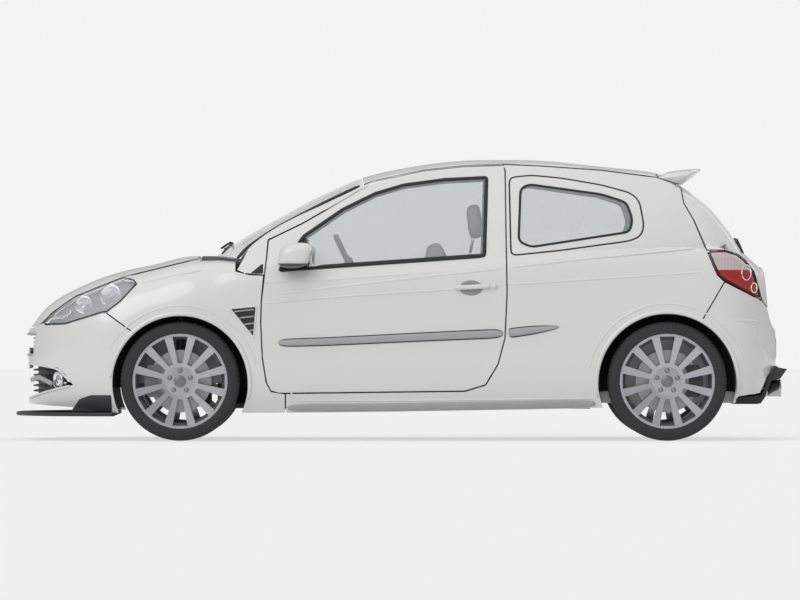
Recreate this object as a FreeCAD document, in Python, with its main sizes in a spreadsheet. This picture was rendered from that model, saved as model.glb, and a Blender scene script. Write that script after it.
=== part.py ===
import FreeCAD, Part
import math
import os

# A three-door hatchback.  Frame: +X rearward, +Y to the car's right, +Z up,
# ground at Z = 0, origin halfway along the car.  Lengths in millimetres.

os.makedirs("parts", exist_ok=True)
Vec = FreeCAD.Vector
doc = FreeCAD.newDocument("hatchback")

# ---------------------------------------------------------------- sizes
sheet = doc.addObject("Spreadsheet::Sheet", "size")
SIZES = [
    ("axle_front", -1168.0, "front axle station"),
    ("axle_rear", 1417.0, "rear axle station"),
    ("half_track", 760.0, "centre plane to tyre centre"),
    ("tyre_radius", 316.5, "tyre tread radius"),
    ("tyre_width", 215.0, "tyre section width"),
    ("rim_radius", 257.0, "rim flange radius"),
    ("hub_offset", 45.0, "wheel centre plane to mounting face"),
    ("bolt_circle", 114.3, "wheel bolt circle diameter"),
    ("bolt_hole", 7.5, "wheel bolt hole radius"),
    ("spigot_bore", 33.6, "wheel centre bore radius"),
    ("spindle_radius", 30.0, "wheel spindle radius"),
    ("running_fit", 0.05, "radial clearance of every bearing"),
    ("disc_radius", 166.0, "brake disc radius"),
    ("kingpin_inset", 40.0, "tyre centre to kingpin axis"),
    ("front_arch", 360.0, "front wheel opening radius"),
    ("rear_arch", 366.0, "rear wheel opening radius"),
    ("panel_gap", 7.0, "gap between neighbouring panels"),
    ("door_gap", 8.0, "gap around each door"),
    ("skin", 30.0, "thickness of wings, lids and bumpers"),
    ("wall", 92.0, "thickness of the body side"),
    ("rebate", 64.0, "depth of the door rebate"),
    ("door_skin", 32.0, "thickness of the door frame"),
    ("door_depth", 100.0, "thickness of the door with its trim"),
    ("glass_thick", 5.0, "window glass thickness"),
    ("steering_radius", 185.0, "steering wheel radius"),
    ("seat_width", 500.0, "front seat width"),
    ("engine_width", 840.0, "engine block width"),
]
for row, (alias, value, note) in enumerate(SIZES, start=1):
    sheet.set("A%d" % row, note)
    sheet.set("B%d" % row, str(value))
    sheet.setAlias("B%d" % row, alias)
doc.recompute()


def size(alias):
    """Value of a named cell."""
    return float(sheet.get(alias))


AXLE_F = size("axle_front")
AXLE_R = size("axle_rear")
WHEEL_Z = size("tyre_radius") + 0.5
GAP = size("panel_gap")


# ---------------------------------------------------------------- curves
def smooth(points):
    """Shape-preserving cubic through (x, value) stations, as a function of x."""
    xs = [p[0] for p in points]
    ys = [p[1] for p in points]
    n = len(xs)
    h = [xs[i + 1] - xs[i] for i in range(n - 1)]
    d = [(ys[i + 1] - ys[i]) / h[i] for i in range(n - 1)]
    m = [d[0]] + [0.0] * (n - 2) + [d[-1]]
    for i in range(1, n - 1):
        if d[i - 1] * d[i] > 0:
            a = 2 * h[i] + h[i - 1]
            b = h[i] + 2 * h[i - 1]
            m[i] = (a + b) / (a / d[i - 1] + b / d[i])

    def value(x):
        x = min(max(x, xs[0]), xs[-1])
        i = max(k for k in range(n - 1) if xs[k] <= x)
        t = (x - xs[i]) / h[i]
        low = (1 + 2 * t) * (1 - t) ** 2 * ys[i] + t * (1 - t) ** 2 * h[i] * m[i]
        high = t * t * (3 - 2 * t) * ys[i + 1] + t * t * (t - 1) * h[i] * m[i + 1]
        return low + high

    return value


def through(knots, points):
    """Natural cubic through 2-D points at the given knots."""
    n = len(knots)
    h = [knots[i + 1] - knots[i] for i in range(n - 1)]
    moments = []
    for axis in (0, 1):
        y = [p[axis] for p in points]
        low = [0.0] * n
        mid = [1.0] * n
        up = [0.0] * n
        rhs = [0.0] * n
        for i in range(1, n - 1):
            low[i] = h[i - 1]
            mid[i] = 2 * (h[i - 1] + h[i])
            up[i] = h[i]
            rhs[i] = 6 * ((y[i + 1] - y[i]) / h[i] - (y[i] - y[i - 1]) / h[i - 1])
        for i in range(1, n):
            w = low[i] / mid[i - 1]
            mid[i] -= w * up[i - 1]
            rhs[i] -= w * rhs[i - 1]
        second = [0.0] * n
        second[-1] = rhs[-1] / mid[-1]
        for i in range(n - 2, -1, -1):
            second[i] = (rhs[i] - up[i] * second[i + 1]) / mid[i]
        moments.append((y, second))

    def value(t):
        i = max([0] + [k for k in range(n - 1) if knots[k] <= t])
        a = (knots[i + 1] - t) / h[i]
        b = (t - knots[i]) / h[i]
        out = []
        for y, second in moments:
            bend = (a ** 3 - a) * second[i] + (b ** 3 - b) * second[i + 1]
            out.append(a * y[i] + b * y[i + 1] + bend * h[i] ** 2 / 6)
        return out

    return value


# ---------------------------------------------------------------- body stations
NOSE = -2004.0
TAIL = 2022.0
plan_core = smooth([(-2004, 872), (-1300, 874), (-1168, 876), (-740, 866), (0, 868),
                    (600, 872), (1417, 880), (2022, 868)])
body_top = smooth([(-2004, 548), (-1985, 600), (-1959, 632), (-1935, 668), (-1914, 692),
                   (-1841, 753), (-1744, 806), (-1663, 843), (-1582, 875), (-1432, 917),
                   (-1337, 935), (-1102, 984), (-989, 984), (-700, 950), (0, 960),
                   (800, 1010), (1500, 1040), (1614, 1052), (1722, 1036), (1830, 1002),
                   (1900, 945), (1944, 905), (1955, 800), (1965, 699), (1992, 618),
                   (2012, 590), (2022, 560)])
body_bottom = smooth([(-2004, 199), (-1950, 192), (-1700, 175), (-1500, 150), (-800, 149),
                      (635, 166), (1054, 176), (1700, 200), (1900, 225), (1980, 330),
                      (2022, 400)])
shoulder = smooth([(-2004, 500), (-1959, 560), (-1900, 610), (-1800, 680), (-1600, 770),
                   (-1347, 847), (-1043, 920), (-900, 925), (-796, 890), (-600, 900),
                   (0, 935), (561, 976), (856, 1000), (1224, 1030), (1548, 1028),
                   (1614, 1022), (1722, 1000), (1830, 945), (1900, 870), (1944, 790),
                   (1965, 640), (1992, 560), (2022, 500)])
shoulder_step = smooth([(-2004, 20), (-1900, 60), (-1347, 78), (-1043, 78), (-900, 60),
                        (-796, 36), (0, 36), (1224, 40), (1614, 60), (1830, 60),
                        (1965, 40), (2022, 16)])
LOWER_KNOTS = [0, .10, .28, .42, .52, .60, .74, .87, 1.0]


def plan_width(x):
    """Half width in plan: a superellipse at each end of a nearly parallel middle."""
    u = max(0.0, 1 - (x - NOSE) / 720.0)
    w = max(0.0, 1 - (TAIL - x) / 480.0)
    return plan_core(x) * (1 - u ** 2.6) ** (1 / 2.6) * (1 - w ** 3) ** (1 / 3.0)


def lower_section(x, inset):
    """Half section of the lower body: sill, side, shoulder and deck."""
    width = max(plan_width(x) - inset, 12.0)
    low = body_bottom(x) + inset
    high = body_top(x) - inset
    edge = min(shoulder(x) - inset * 0.8, high - 6)
    soft = min(1.0, width / 400.0)
    step = min(shoulder_step(x) * soft, width * 0.3)
    rise = edge - low
    crown = high - edge
    points = [(width - 55 * soft, low), (width - 14 * soft, low + 0.16 * rise),
              (width, low + 0.5 * rise), (width - 8 * soft, low + 0.8 * rise),
              (width - step, edge), (0.9 * width - step, edge + 0.55 * crown),
              (0.6 * width, high - 0.13 * crown), (0.3 * width, high - 0.03 * crown),
              (0.0, high)]
    return through(LOWER_KNOTS, points)


house_top = smooth([(-1060, 925), (-989, 984), (-637, 1198), (-400, 1322), (-201, 1406),
                    (20, 1457), (237, 1489), (400, 1500), (635, 1501), (748, 1497),
                    (1072, 1465), (1359, 1432), (1440, 1400), (1505, 1359), (1646, 1256),
                    (1722, 1170), (1793, 1072), (1830, 1002), (1880, 900)])
house_drop = smooth([(-1060, 96), (-989, 96), (-700, 90), (-400, 66), (-201, 50),
                     (100, 42), (1072, 38), (1359, 36), (1505, 50), (1700, 70), (1880, 80)])
belt_width = smooth([(-1060, 810), (-700, 830), (0, 830), (600, 828), (1100, 812),
                     (1400, 782), (1614, 735), (1750, 690), (1880, 640)])
belt_line = smooth([(-1060, 890), (-700, 890), (0, 932), (561, 974), (1224, 1028),
                    (1614, 1022), (1880, 900)])
HOUSE_KNOTS = [0, .22, .42, .52, .60, .80, 1.0]


def house_section(x, inset):
    """Half section of the greenhouse: sides leaning in, a firm edge and the roof."""
    high = house_top(x) - inset
    edge = high - house_drop(x)
    belt = belt_line(x)
    low = min(belt - 50, edge - 70)
    lean = 0.47

    def side(z, bulge):
        return max(belt_width(x) - inset * 1.08 - lean * (z - belt) + bulge, 30.0)

    mid = 0.5 * (low + edge)
    width = side(edge, 0.0)
    points = [(side(low, 0.0), low), (side(mid, 14.0), mid),
              (width, edge), (width - 42, edge + 0.42 * (high - edge)),
              (0.80 * width, edge + 0.66 * (high - edge)),
              (0.42 * width, edge + 0.93 * (high - edge)), (0.0, high)]
    return through(HOUSE_KNOTS, points)


def offset_point(section, x, t, inset):
    """Point of the form moved inward along its normal."""
    y, z = section(x, 0.0)(t)
    if not inset:
        return Vec(x, -y, z)
    ya, za = section(x - 1.0, 0.0)(t)
    yb, zb = section(x + 1.0, 0.0)(t)
    yc, zc = section(x, 0.0)(max(t - 0.004, 0.0))
    yd, zd = section(x, 0.0)(min(t + 0.004, 1.0))
    along = Vec(2.0, -(yb - ya), zb - za)
    across = Vec(0.0, -(yd - yc), zd - zc)
    normal = across.cross(along)
    normal.normalize()
    return Vec(x, -y, z) + normal * inset


def rows_between(section, inset, stations, params, normal):
    """Grid of points on the form, inset along the normal or within each section."""
    if normal:
        return [[offset_point(section, x, t, inset) for t in params] for x in stations]
    rows = []
    for x in stations:
        at = section(x, inset)
        rows.append([Vec(x, -at(t)[0], at(t)[1]) for t in params])
    return rows


def spread(low, high, count, bias=1.0):
    """Values from low to high, closer together near low when bias exceeds one."""
    return [low + (high - low) * (i / (count - 1.0)) ** bias for i in range(count)]


def control_points(data):
    """Poles of the clamped uniform cubic that passes through a list of points."""
    n = len(data)
    low = [Vec(p) for p in data]
    ratio = [0.0] * n
    for i in range(1, n - 1):
        pivot = 4.0 - ratio[i - 1]
        ratio[i] = 1.0 / pivot
        low[i] = (data[i] * 6.0 - low[i - 1]) * (1.0 / pivot)
    poles = [Vec(p) for p in low]
    for i in range(n - 2, 0, -1):
        poles[i] = low[i] - poles[i + 1] * ratio[i]
    first = (poles[0] * 2.0 + poles[1]) * (1.0 / 3.0)
    last = (poles[-1] * 2.0 + poles[-2]) * (1.0 / 3.0)
    return [data[0], first] + poles[1:-1] + [last, data[-1]]


def fitted(rows):
    """Cubic B-spline surface through a grid of points."""
    half = [control_points(row) for row in rows]
    columns = [control_points([row[j] for row in half]) for j in range(len(half[0]))]
    poles = [[column[i] for column in columns] for i in range(len(columns[0]))]
    u_count = len(rows)
    v_count = len(rows[0])
    surface = Part.BSplineSurface()
    surface.buildFromPolesMultsKnots(poles, [4] + [1] * (u_count - 2) + [4],
                                     [4] + [1] * (v_count - 2) + [4],
                                     [float(i) for i in range(u_count)],
                                     [float(i) for i in range(v_count)],
                                     False, False, 3, 3)
    return surface


def slab(section, near, far, stations, params, normal=True):
    """Solid layer of the form between two insets."""
    sheets = []
    for inset in (near, far):
        sheets.append(fitted(rows_between(section, inset, stations, params, normal)))
    edges = []
    for surface in sheets:
        u0, u1, v0, v1 = surface.bounds()
        edges.append([surface.uIso(u0).toShape(), surface.uIso(u1).toShape(),
                      surface.vIso(v0).toShape(), surface.vIso(v1).toShape()])
    faces = [sheets[0].toShape(), sheets[1].toShape()]
    for one, two in zip(edges[0], edges[1]):
        faces.append(Part.makeRuledSurface(one, two))
    shell = Part.Shell(faces)
    shell.sewShape()
    solid = Part.Solid(shell)
    if solid.Volume < 0:
        solid.reverse()
    return solid


def end_plate(x, thick, section):
    """Flat plate that closes the form at its first or last station."""
    at = section(x, 0.0)
    outline = [Vec(x, -at(j / 24.0)[0], at(j / 24.0)[1]) for j in range(25)]
    curve = Part.BSplineCurve()
    curve.interpolate(outline)
    foot = Vec(x, 0, outline[0].z)
    wire = Part.Wire([curve.toShape(), Part.makeLine(outline[-1], foot),
                      Part.makeLine(foot, outline[0])])
    return Part.Face(wire).extrude(Vec(thick, 0, 0))


# ---------------------------------------------------------------- outlines
def prism(points, y0=-1200.0, y1=0.0, grow=0.0):
    """Side-view outline swept across the car."""
    corners = [Vec(p[0], y0, p[1]) for p in points]
    wire = Part.makePolygon(corners + [corners[0]])
    if grow:
        wire = wire.makeOffset2D(grow, 0, False, False, False)
        if isinstance(wire, Part.Compound):
            wire = wire.Wires[0]
    return Part.Face(wire).extrude(Vec(0, y1 - y0, 0))


def drum(x, z, radius, y0, y1):
    """Cylinder across the car."""
    return Part.makeCylinder(radius, y1 - y0, Vec(x, y0, z), Vec(0, 1, 0))


def drum_x(y, z, radius, x0, x1):
    """Cylinder along the car on its left side."""
    return Part.makeCylinder(radius, x1 - x0, Vec(x0, -y, z), Vec(1, 0, 0))


def brick(x0, x1, y0, y1, z0, z1):
    """Box between two corners."""
    return Part.makeBox(x1 - x0, y1 - y0, z1 - z0, Vec(x0, y0, z0))


def mirrored(shape):
    """The same shape on the other side of the car."""
    return shape.mirror(Vec(0, 0, 0), Vec(0, 1, 0))


def both(shape):
    """The shape with its mirror image joined across the centre plane."""
    return shape.fuse(mirrored(shape)).removeSplitter()


def pair(shape):
    """Two separate solids, left and right."""
    return Part.makeCompound([shape, mirrored(shape)])


BONNET_LINE = [(-1975, 600), (-1910, 626), (-1857, 680), (-1729, 769), (-1475, 870),
               (-1072, 968)]
HEADLIGHT = [(-1910, 626), (-1891, 616), (-1779, 621), (-1578, 682), (-1561, 680),
             (-1484, 739), (-1394, 839), (-1416, 856), (-1475, 870), (-1729, 769),
             (-1857, 680)]
DOOR = [(-701, 1067), (-710, 969), (-737, 742), (-740, 623), (-731, 439), (-710, 309),
        (-688, 266), (-645, 252), (345, 264), (454, 298), (519, 407), (556, 547),
        (567, 785), (562, 1110), (559, 1435), (551, 1463), (345, 1457), (129, 1434),
        (20, 1411), (-152, 1369), (-336, 1261), (-520, 1155)]
DOOR_GLASS = [(-640, 905), (-512, 1087), (-304, 1230), (-131, 1315), (20, 1360),
              (237, 1389), (460, 1400), (447, 984), (-456, 918)]
QUARTER = [(640, 1340), (683, 1364), (1072, 1310), (1203, 1267), (1235, 1175),
           (1219, 1110), (694, 1029), (629, 1060)]
TAIL_LAMP = [(1627, 1013), (1722, 1013), (1790, 995), (1836, 959), (1883, 897),
             (1925, 744), (1830, 791), (1723, 847), (1684, 880), (1663, 925)]
SCREEN_EDGE = [(-870, 962), (-800, 1035), (-720, 1095), (-640, 1146), (-520, 1207),
               (-336, 1296), (-198, 1360)]
GUTTER = [(-198, 1360), (-152, 1381), (20, 1419), (129, 1442), (345, 1465), (551, 1471),
          (747, 1462), (1072, 1439), (1368, 1401)]
TAILGATE_EDGE = [(1376, 1399), (1494, 1357), (1509, 1265), (1560, 1175), (1614, 1045),
                 (1627, 1013)]
LAMP_TOP = [(1627, 1013), (1722, 1013), (1790, 995), (1836, 959), (1883, 897), (1925, 744)]
WING_TOP = [(-1060, 1010), (-872, 1010), (-872, 902), (-806, 884), (-724, 880)]
SCUTTLE_HALF = 700.0
MOUTH = [(-2100, 414), (-2000, 414), (-1931, 404), (-1825, 390), (-1785, 357), (-1738, 296),
         (-1890, 264), (-2008, 223), (-2100, 223)]

SKIN = size("skin")
WALL = size("wall")
REBATE = size("rebate")
LOW_SIDE = [0.0, .05, .10, .16, .22, .28, .35, .42, .47, .52]
LOW_ALL = LOW_SIDE + [.56, .60, .67, .74, .80, .87, .93, 1.0]
HOUSE_SIDE = [0.0, .11, .22, .32, .37, .42, .47, .52, .56]
HOUSE_ALL = HOUSE_SIDE + [.60, .70, .80, .90, 1.0]
front_drum = drum(AXLE_F, WHEEL_Z - 13, size("front_arch"), -1200.0, -452.0)
rear_drum = drum(AXLE_R, WHEEL_Z - 8, size("rear_arch"), -1200.0, -618.0)

nodes = {}


def keep(label, shape):
    """Store one finished sub-part as a document object named after its node."""
    item = doc.addObject("Part::Feature", label)
    item.Label = label
    item.Shape = shape
    nodes[label] = item
    return item


# ---------------------------------------------------------------- fixed panels
# Body side: wall between wing and tailgate with door rebate and windows.
side_outline = ([(-724, 880), (-806, 886), (-870, 905)] + SCREEN_EDGE[1:] + GUTTER[1:]
                + TAILGATE_EDGE + [(1663, 925), (1684, 880), (1722, 845), (1598, 634),
                                   (1560, 560), (1560, 100), (-609, 100), (-609, 250),
                                   (-688, 262), (-715, 309), (-735, 439), (-744, 623),
                                   (-741, 742)])
low_stations = spread(-900, 1740, 34)
house_stations = spread(-900, 1680, 40)


def side_layer(near, far, low_params, house_params):
    """Layer of the body side and the greenhouse side between two insets."""
    low = slab(lower_section, near, far, low_stations, low_params, False)
    return low, slab(house_section, near, far, house_stations, house_params, False)


def shaped(layers, cutter):
    """Both layers cut to one outline and joined."""
    return layers[0].common(cutter).fuse(layers[1].common(cutter))


wall_layers = side_layer(0.0, WALL, LOW_SIDE, HOUSE_SIDE)
side = shaped(wall_layers, prism(side_outline, grow=-GAP / 2))
pocket = side_layer(-30.0, REBATE, LOW_SIDE, HOUSE_SIDE)
hole = prism(DOOR, grow=size("door_gap") / 2)
side = side.cut(pocket[0].common(hole)).cut(pocket[1].common(hole))
side = side.cut(prism(DOOR, grow=-45.0))
side = side.cut(prism(QUARTER))
side = side.cut(rear_drum)
tub = drum(AXLE_R, WHEEL_Z - 8, size("rear_arch") + 14, -800.0, -604.0)
tub = tub.cut(drum(AXLE_R, WHEEL_Z - 8, size("rear_arch"), -1200.0, -618.0))
tub = tub.cut(brick(0, 3000, -1200, 0, -200, 200))
tub = tub.cut(brick(1556, 3000, -1200, -745, -200, 1000))
tub = tub.cut(brick(AXLE_R - 90, AXLE_R + 90, -700, 0, 0, WHEEL_Z + 60))
side = side.fuse(tub)
keep("side_panel_left", side)
keep("side_panel_right", mirrored(side))

# Roof and windscreen.
roof_outline = GUTTER + [(1362, 1440), (1362, 1700), (-204, 1700), (-204, 1410)]
roof_layer = slab(house_section, 0.0, SKIN, spread(-260, 1420, 28), HOUSE_ALL[4:])
roof = both(roof_layer.common(prism(roof_outline, grow=-GAP / 2)))
keep("roof_panel", roof)
screen_outline = ([(-992, 974)] + SCREEN_EDGE + [(-204, 1410), (-204, 1700), (-992, 1700)])
GLASS = size("glass_thick")
screen_layer = slab(house_section, 0.0, GLASS, spread(-1040, -150, 24), HOUSE_ALL[3:])
screen = both(screen_layer.common(prism(screen_outline, grow=-3.0)))
keep("windscreen", screen)

# Scuttle between bonnet and windscreen.
scuttle_layer = slab(lower_section, 0.0, 60.0, spread(-1120, -780, 10), LOW_ALL[9:])
scuttle = scuttle_layer.common(brick(-1058, -850, -SCUTTLE_HALF, 10, 800, 1100))
scuttle = scuttle.cut(prism(side_outline, grow=1.0))
scuttle = both(scuttle).cut(screen)
keep("scuttle_panel", scuttle)

# Front wings.
wing_outline = ([(-1561, 680), (-1484, 739), (-1394, 839), (-1416, 856), (-1475, 870),
                 (-1072, 968)] + WING_TOP
                + [(-737, 742), (-740, 623), (-731, 439), (-710, 309), (-684, 262),
                   (-609, 250), (-609, 100), (-1168, 100), (-1168, 304), (-1405, 567)])
wing_layer = slab(lower_section, 0.0, SKIN, spread(-1640, -560, 26), LOW_ALL[:14])
wing = wing_layer.common(prism(wing_outline, grow=-GAP / 2)).cut(front_drum)
wing = wing.cut(brick(-1064, -860, -SCUTTLE_HALF - 3, 10, 500, 1100))
wing = wing.cut(brick(-900, -500, -700, 10, 500, 1100))
wing = wing.cut(prism(side_outline, grow=-1.0))
ARCH_Z = WHEEL_Z - 13
liner = drum(AXLE_F, ARCH_Z, size("front_arch") + 9, -846, -456)
liner = liner.cut(drum(AXLE_F, ARCH_Z, size("front_arch") + 0.5, -900, -470))
liner = liner.cut(brick(-3000, 0, -1200, 0, -500, ARCH_Z))
liner = liner.cut(brick(-3000, -1400, -1200, -800, 0, 1000))
liner = liner.cut(Part.makeCylinder(34, 700, Vec(AXLE_F, -585, 300)))
wing = wing.fuse(liner)
keep("front_wings", pair(wing))

# Front bumper with its grille and lower openings, and the splitter below it.
bumper_outline = [(-2100, 120), (-2100, 592), (-1975, 600), (-1910, 626), (-1891, 616),
                  (-1779, 621), (-1578, 682), (-1561, 680), (-1405, 567), (-1405, 120)]
nose_layer = slab(lower_section, 0.0, SKIN, spread(NOSE + 14, -1380, 26, 1.7), LOW_ALL)
nose_layer = nose_layer.fuse(end_plate(NOSE + 14, SKIN, lower_section))
bumper = nose_layer.common(prism(bumper_outline, grow=-GAP / 2))
bumper = bumper.cut(drum(AXLE_F, WHEEL_Z - 13, size("front_arch"), -1200, 10))
bumper = bumper.cut(prism(MOUTH, -1200, 10))
bumper = bumper.cut(brick(-2100, -1900, -420, 10, 460, 560))
keep("front_bumper", both(bumper))


def splitter_half(x):
    """Half width of the splitter plate: a superellipse ahead of the bumper's outline."""
    u = max(0.0, 1 - (x + 2063.0) / 640.0)
    return 12.0 + 870.0 * (1 - u ** 2.3) ** (1 / 2.3)


splitter_plan = [Vec(-2063, 0, 130)]
splitter_plan += [Vec(x, -splitter_half(x), 130) for x in spread(-2062.5, -1521, 26, 1.8)]
splitter_plan += [Vec(-1521, 0, 130)]
splitter = Part.Face(Part.makePolygon(splitter_plan + [splitter_plan[0]]))
splitter = splitter.extrude(Vec(0, 0, 20))
fin = prism([(-1740, 149), (-1703, 223), (-1642, 244), (-1524, 244), (-1524, 149)],
            -874.0, -866.0)
splitter = splitter.fuse(fin)
keep("front_splitter", both(splitter))

# Headlights: one deep unit on each side.
lamp_layer = slab(lower_section, 0.0, 60.0, spread(-1930, -1370, 20), LOW_ALL[4:14])
headlight = lamp_layer.common(prism(HEADLIGHT, grow=-GAP / 2))
keep("headlights", pair(headlight))

# Tail lamps, rear bumper, diffuser and exhaust.
lamp_layer = slab(lower_section, 0.0, 60.0, spread(1600, 1935, 16), LOW_ALL[4:14])
lamp = lamp_layer.common(prism(TAIL_LAMP, grow=-GAP / 2))
keep("tail_lights", pair(lamp))
rear_outline = [(1598, 634), (1722, 845), (1830, 791), (1925, 744), (1965, 693),
                (2100, 693), (2100, 400), (2000, 390), (1960, 344), (1917, 251),
                (1790, 232), (1700, 232), (1560, 232), (1560, 560)]
tail_stations = [TAIL - 14 - (x - 1560) for x in spread(1560, 2038, 24, 1.7)]
tail_stations.reverse()
tail_layer = slab(lower_section, 0.0, SKIN, tail_stations, LOW_ALL)
tail_layer = tail_layer.fuse(end_plate(TAIL - 14, -SKIN, lower_section))
rear_bumper = tail_layer.common(prism(rear_outline, grow=-GAP / 2))
rear_bumper = rear_bumper.cut(drum(AXLE_R, WHEEL_Z - 8, size("rear_arch"), -1200, 10))
keep("rear_bumper", both(rear_bumper))
diffuser = prism([(1720, 200), (1922, 196), (1943, 226), (1980, 318), (2025, 327),
                  (2063, 380), (2023, 384), (2008, 396), (1972, 370), (1950, 300),
                  (1925, 240), (1720, 222)], -560.0, 0.0)
diffuser = both(diffuser.cut(drum_x(380, 277, 50, 1800, 2100))).cut(both(rear_bumper))
keep("rear_diffuser", diffuser)

# Quarter windows.
side_glass = slab(house_section, 0.0, GLASS, house_stations, HOUSE_SIDE)
quarter = side_glass.common(prism(QUARTER, grow=-1.0))
keep("quarter_windows", pair(quarter))

# ---------------------------------------------------------------- doors
door_layers = side_layer(0.0, size("door_skin"), LOW_SIDE, HOUSE_SIDE)
door_frame = shaped(door_layers, prism(DOOR, grow=-size("door_gap") / 2))
door_box = slab(lower_section, size("door_skin") + 0.3, size("door_depth"), low_stations,
                LOW_SIDE, False)
door_box = door_box.common(prism(DOOR, grow=-60.0))
door_hole = prism(DOOR_GLASS)
door = Part.makeCompound([door_frame.cut(door_hole), door_box.cut(door_hole)])
keep("door_left", door)
keep("door_right", mirrored(door))
window = side_glass.common(prism(DOOR_GLASS, grow=-0.5))
keep("door_glass_left", window)
keep("door_glass_right", mirrored(window))
mirror = brick(-645, -468, -985, -800, 915, 1050)
mirror = mirror.fuse(brick(-620, -540, -820, -770, 920, 960)).cut(door).cut(window)
keep("door_mirror_left", mirror)
keep("door_mirror_right", mirrored(mirror))

# ---------------------------------------------------------------- lids
bonnet_outline = [(-2100, 592)] + BONNET_LINE + [(-1072, 1300), (-2100, 1300)]
lid_layer = slab(lower_section, 0.0, SKIN - 5, spread(-1985, -1050, 26), LOW_ALL[7:])
bonnet = both(lid_layer.common(prism(bonnet_outline, grow=-GAP / 2)))
keep("bonnet", bonnet)
tailgate_outline = ([(1364, 1434)] + TAILGATE_EDGE + LAMP_TOP[1:]
                    + [(1965, 699), (2100, 699), (2100, 1700), (1364, 1700)])
hatch_layer = slab(house_section, 0.0, SKIN, spread(1330, 1850, 18), HOUSE_ALL[3:])
tail_lid = slab(lower_section, 0.0, SKIN, spread(1590, 1985, 22), LOW_ALL[6:])
tail_lid = tail_lid.cut(brick(1500, 1790, -560, 10, 800, 1070))
tailgate = shaped((hatch_layer, tail_lid), prism(tailgate_outline, grow=-GAP / 2))
REAR_GLASS = [(1545, 1322), (1617, 1187), (1685, 1098), (1740, 1062), (1820, 1062),
              (1820, 1500), (1545, 1500)]
tailgate = tailgate.cut(prism(REAR_GLASS, -620.0, 0.0))
keep("tailgate", both(tailgate))
rear_layer = slab(house_section, 0.0, GLASS, spread(1330, 1850, 18), HOUSE_ALL[3:])
rear_glass = rear_layer.common(prism(REAR_GLASS, -620.0, 0.0, grow=-0.5))
keep("tailgate_glass", both(rear_glass))
spoiler = prism([(1384, 1405), (1440, 1440), (1609, 1455), (1617, 1443), (1512, 1364),
                 (1480, 1370)], -560.0, 0.0).cut(tailgate)
keep("rear_spoiler", both(spoiler))

# ---------------------------------------------------------------- floor and running gear
floor = brick(-960, 1010, -700, 700, 170, 195)
floor = floor.fuse(brick(-975, -955, -690, 690, 170, 850))
floor = floor.fuse(brick(990, 1010, -700, 700, 170, 430))
floor = floor.fuse(brick(990, 1900, -600, 600, 410, 430))
floor = floor.fuse(brick(-960, 990, -90, 90, 190, 290))
house = drum(AXLE_F, WHEEL_Z - 13, size("front_arch") + 14, -1200, -448)
floor = floor.cut(house).cut(mirrored(house))
keep("floor_pan", floor.removeSplitter())
engine = doc.addObject("Part::Box", "engine_block")
engine.Label = "engine_block"
engine.setExpression("Width", "size.engine_width")
engine.Length = 500
engine.Height = 420
engine.Placement.Base = Vec(-1700, -size("engine_width") / 2, 285)
nodes["engine_block"] = engine

subframe = brick(-1240, -1020, -440, 440, 190, 260)
arm = brick(-1200, -1136, -734, -430, 176, 196)
pin = Part.makeCylinder(12, 44, Vec(AXLE_F, -size("half_track") + size("kingpin_inset"), 192))
strut = Part.makeCylinder(25, 380, Vec(AXLE_F, -585, 430))
upper = brick(-1186, -1150, -735, -575, 440, 456)
upper_pin = Part.makeCylinder(12, 44, Vec(AXLE_F, -size("half_track") + size("kingpin_inset"),
                                          398))
keep("front_subframe", Part.makeCompound([subframe.fuse(arm).fuse(mirrored(arm)).fuse(pin)
                                          .fuse(mirrored(pin)), strut.fuse(upper)
                                          .fuse(upper_pin), mirrored(strut.fuse(upper)
                                          .fuse(upper_pin))]))


def ring_profile(points):
    """Closed (radius, across) outline turned about the wheel axis."""
    corners = [Vec(p[0], p[1], 0) for p in points]
    face = Part.Face(Part.makePolygon(corners + [corners[0]]))
    return face.revolve(Vec(0, 0, 0), Vec(0, 1, 0), 360)


HALF_TYRE = size("tyre_width") / 2
R_T = size("tyre_radius")
R_R = size("rim_radius")
SPINDLE = size("spindle_radius")
OFFSET = size("hub_offset")
FIT = size("running_fit")

# Wheel parts about their own axis, outboard towards -Y.
tyre_shape = ring_profile([(R_R - 8, -92), (R_R + 1, -92.5), (R_R + 1, -101),
                           (R_R + 6, -HALF_TYRE + 3), (R_R + 28, -HALF_TYRE),
                           (R_T - 12, -HALF_TYRE + 8), (R_T - 2, -HALF_TYRE + 20),
                           (R_T, -HALF_TYRE + 34), (R_T, HALF_TYRE - 34),
                           (R_T - 2, HALF_TYRE - 20), (R_T - 12, HALF_TYRE - 8),
                           (R_R + 28, HALF_TYRE), (R_R + 6, HALF_TYRE - 3), (R_R + 1, 101),
                           (R_R + 1, 92.5), (R_R - 8, 92),
                           (R_R - 8, 78), (R_R + 28, HALF_TYRE - 14), (R_T - 16, 76),
                           (R_T - 16, -76), (R_R + 28, -HALF_TYRE + 14), (R_R - 8, -78)])
barrel = ring_profile([(R_R, -100), (R_R, -93), (R_R - 9, -92), (R_R - 9, -70),
                       (R_R - 28, -52), (R_R - 28, 58), (R_R - 9, 70), (R_R - 9, 92),
                       (R_R, 93), (R_R, 100), (R_R - 18, 98), (R_R - 36, 60),
                       (R_R - 36, -46), (R_R - 18, -92), (R_R - 18, -100)])
spokes = ring_profile([(30, -78), (78, -76), (R_R - 17, -96), (R_R - 17, -74),
                       (150, -62), (90, -OFFSET), (30, -OFFSET)])
window_cut = []
for k in range(12):
    corners = [Vec(-12, -130, 96), Vec(12, -130, 96), Vec(41, -130, R_R - 20),
               Vec(-41, -130, R_R - 20)]
    hole = Part.Face(Part.makePolygon(corners + [corners[0]])).extrude(Vec(0, 120, 0))
    hole.rotate(Vec(0, 0, 0), Vec(0, 1, 0), 30.0 * k)
    window_cut.append(hole)
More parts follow.
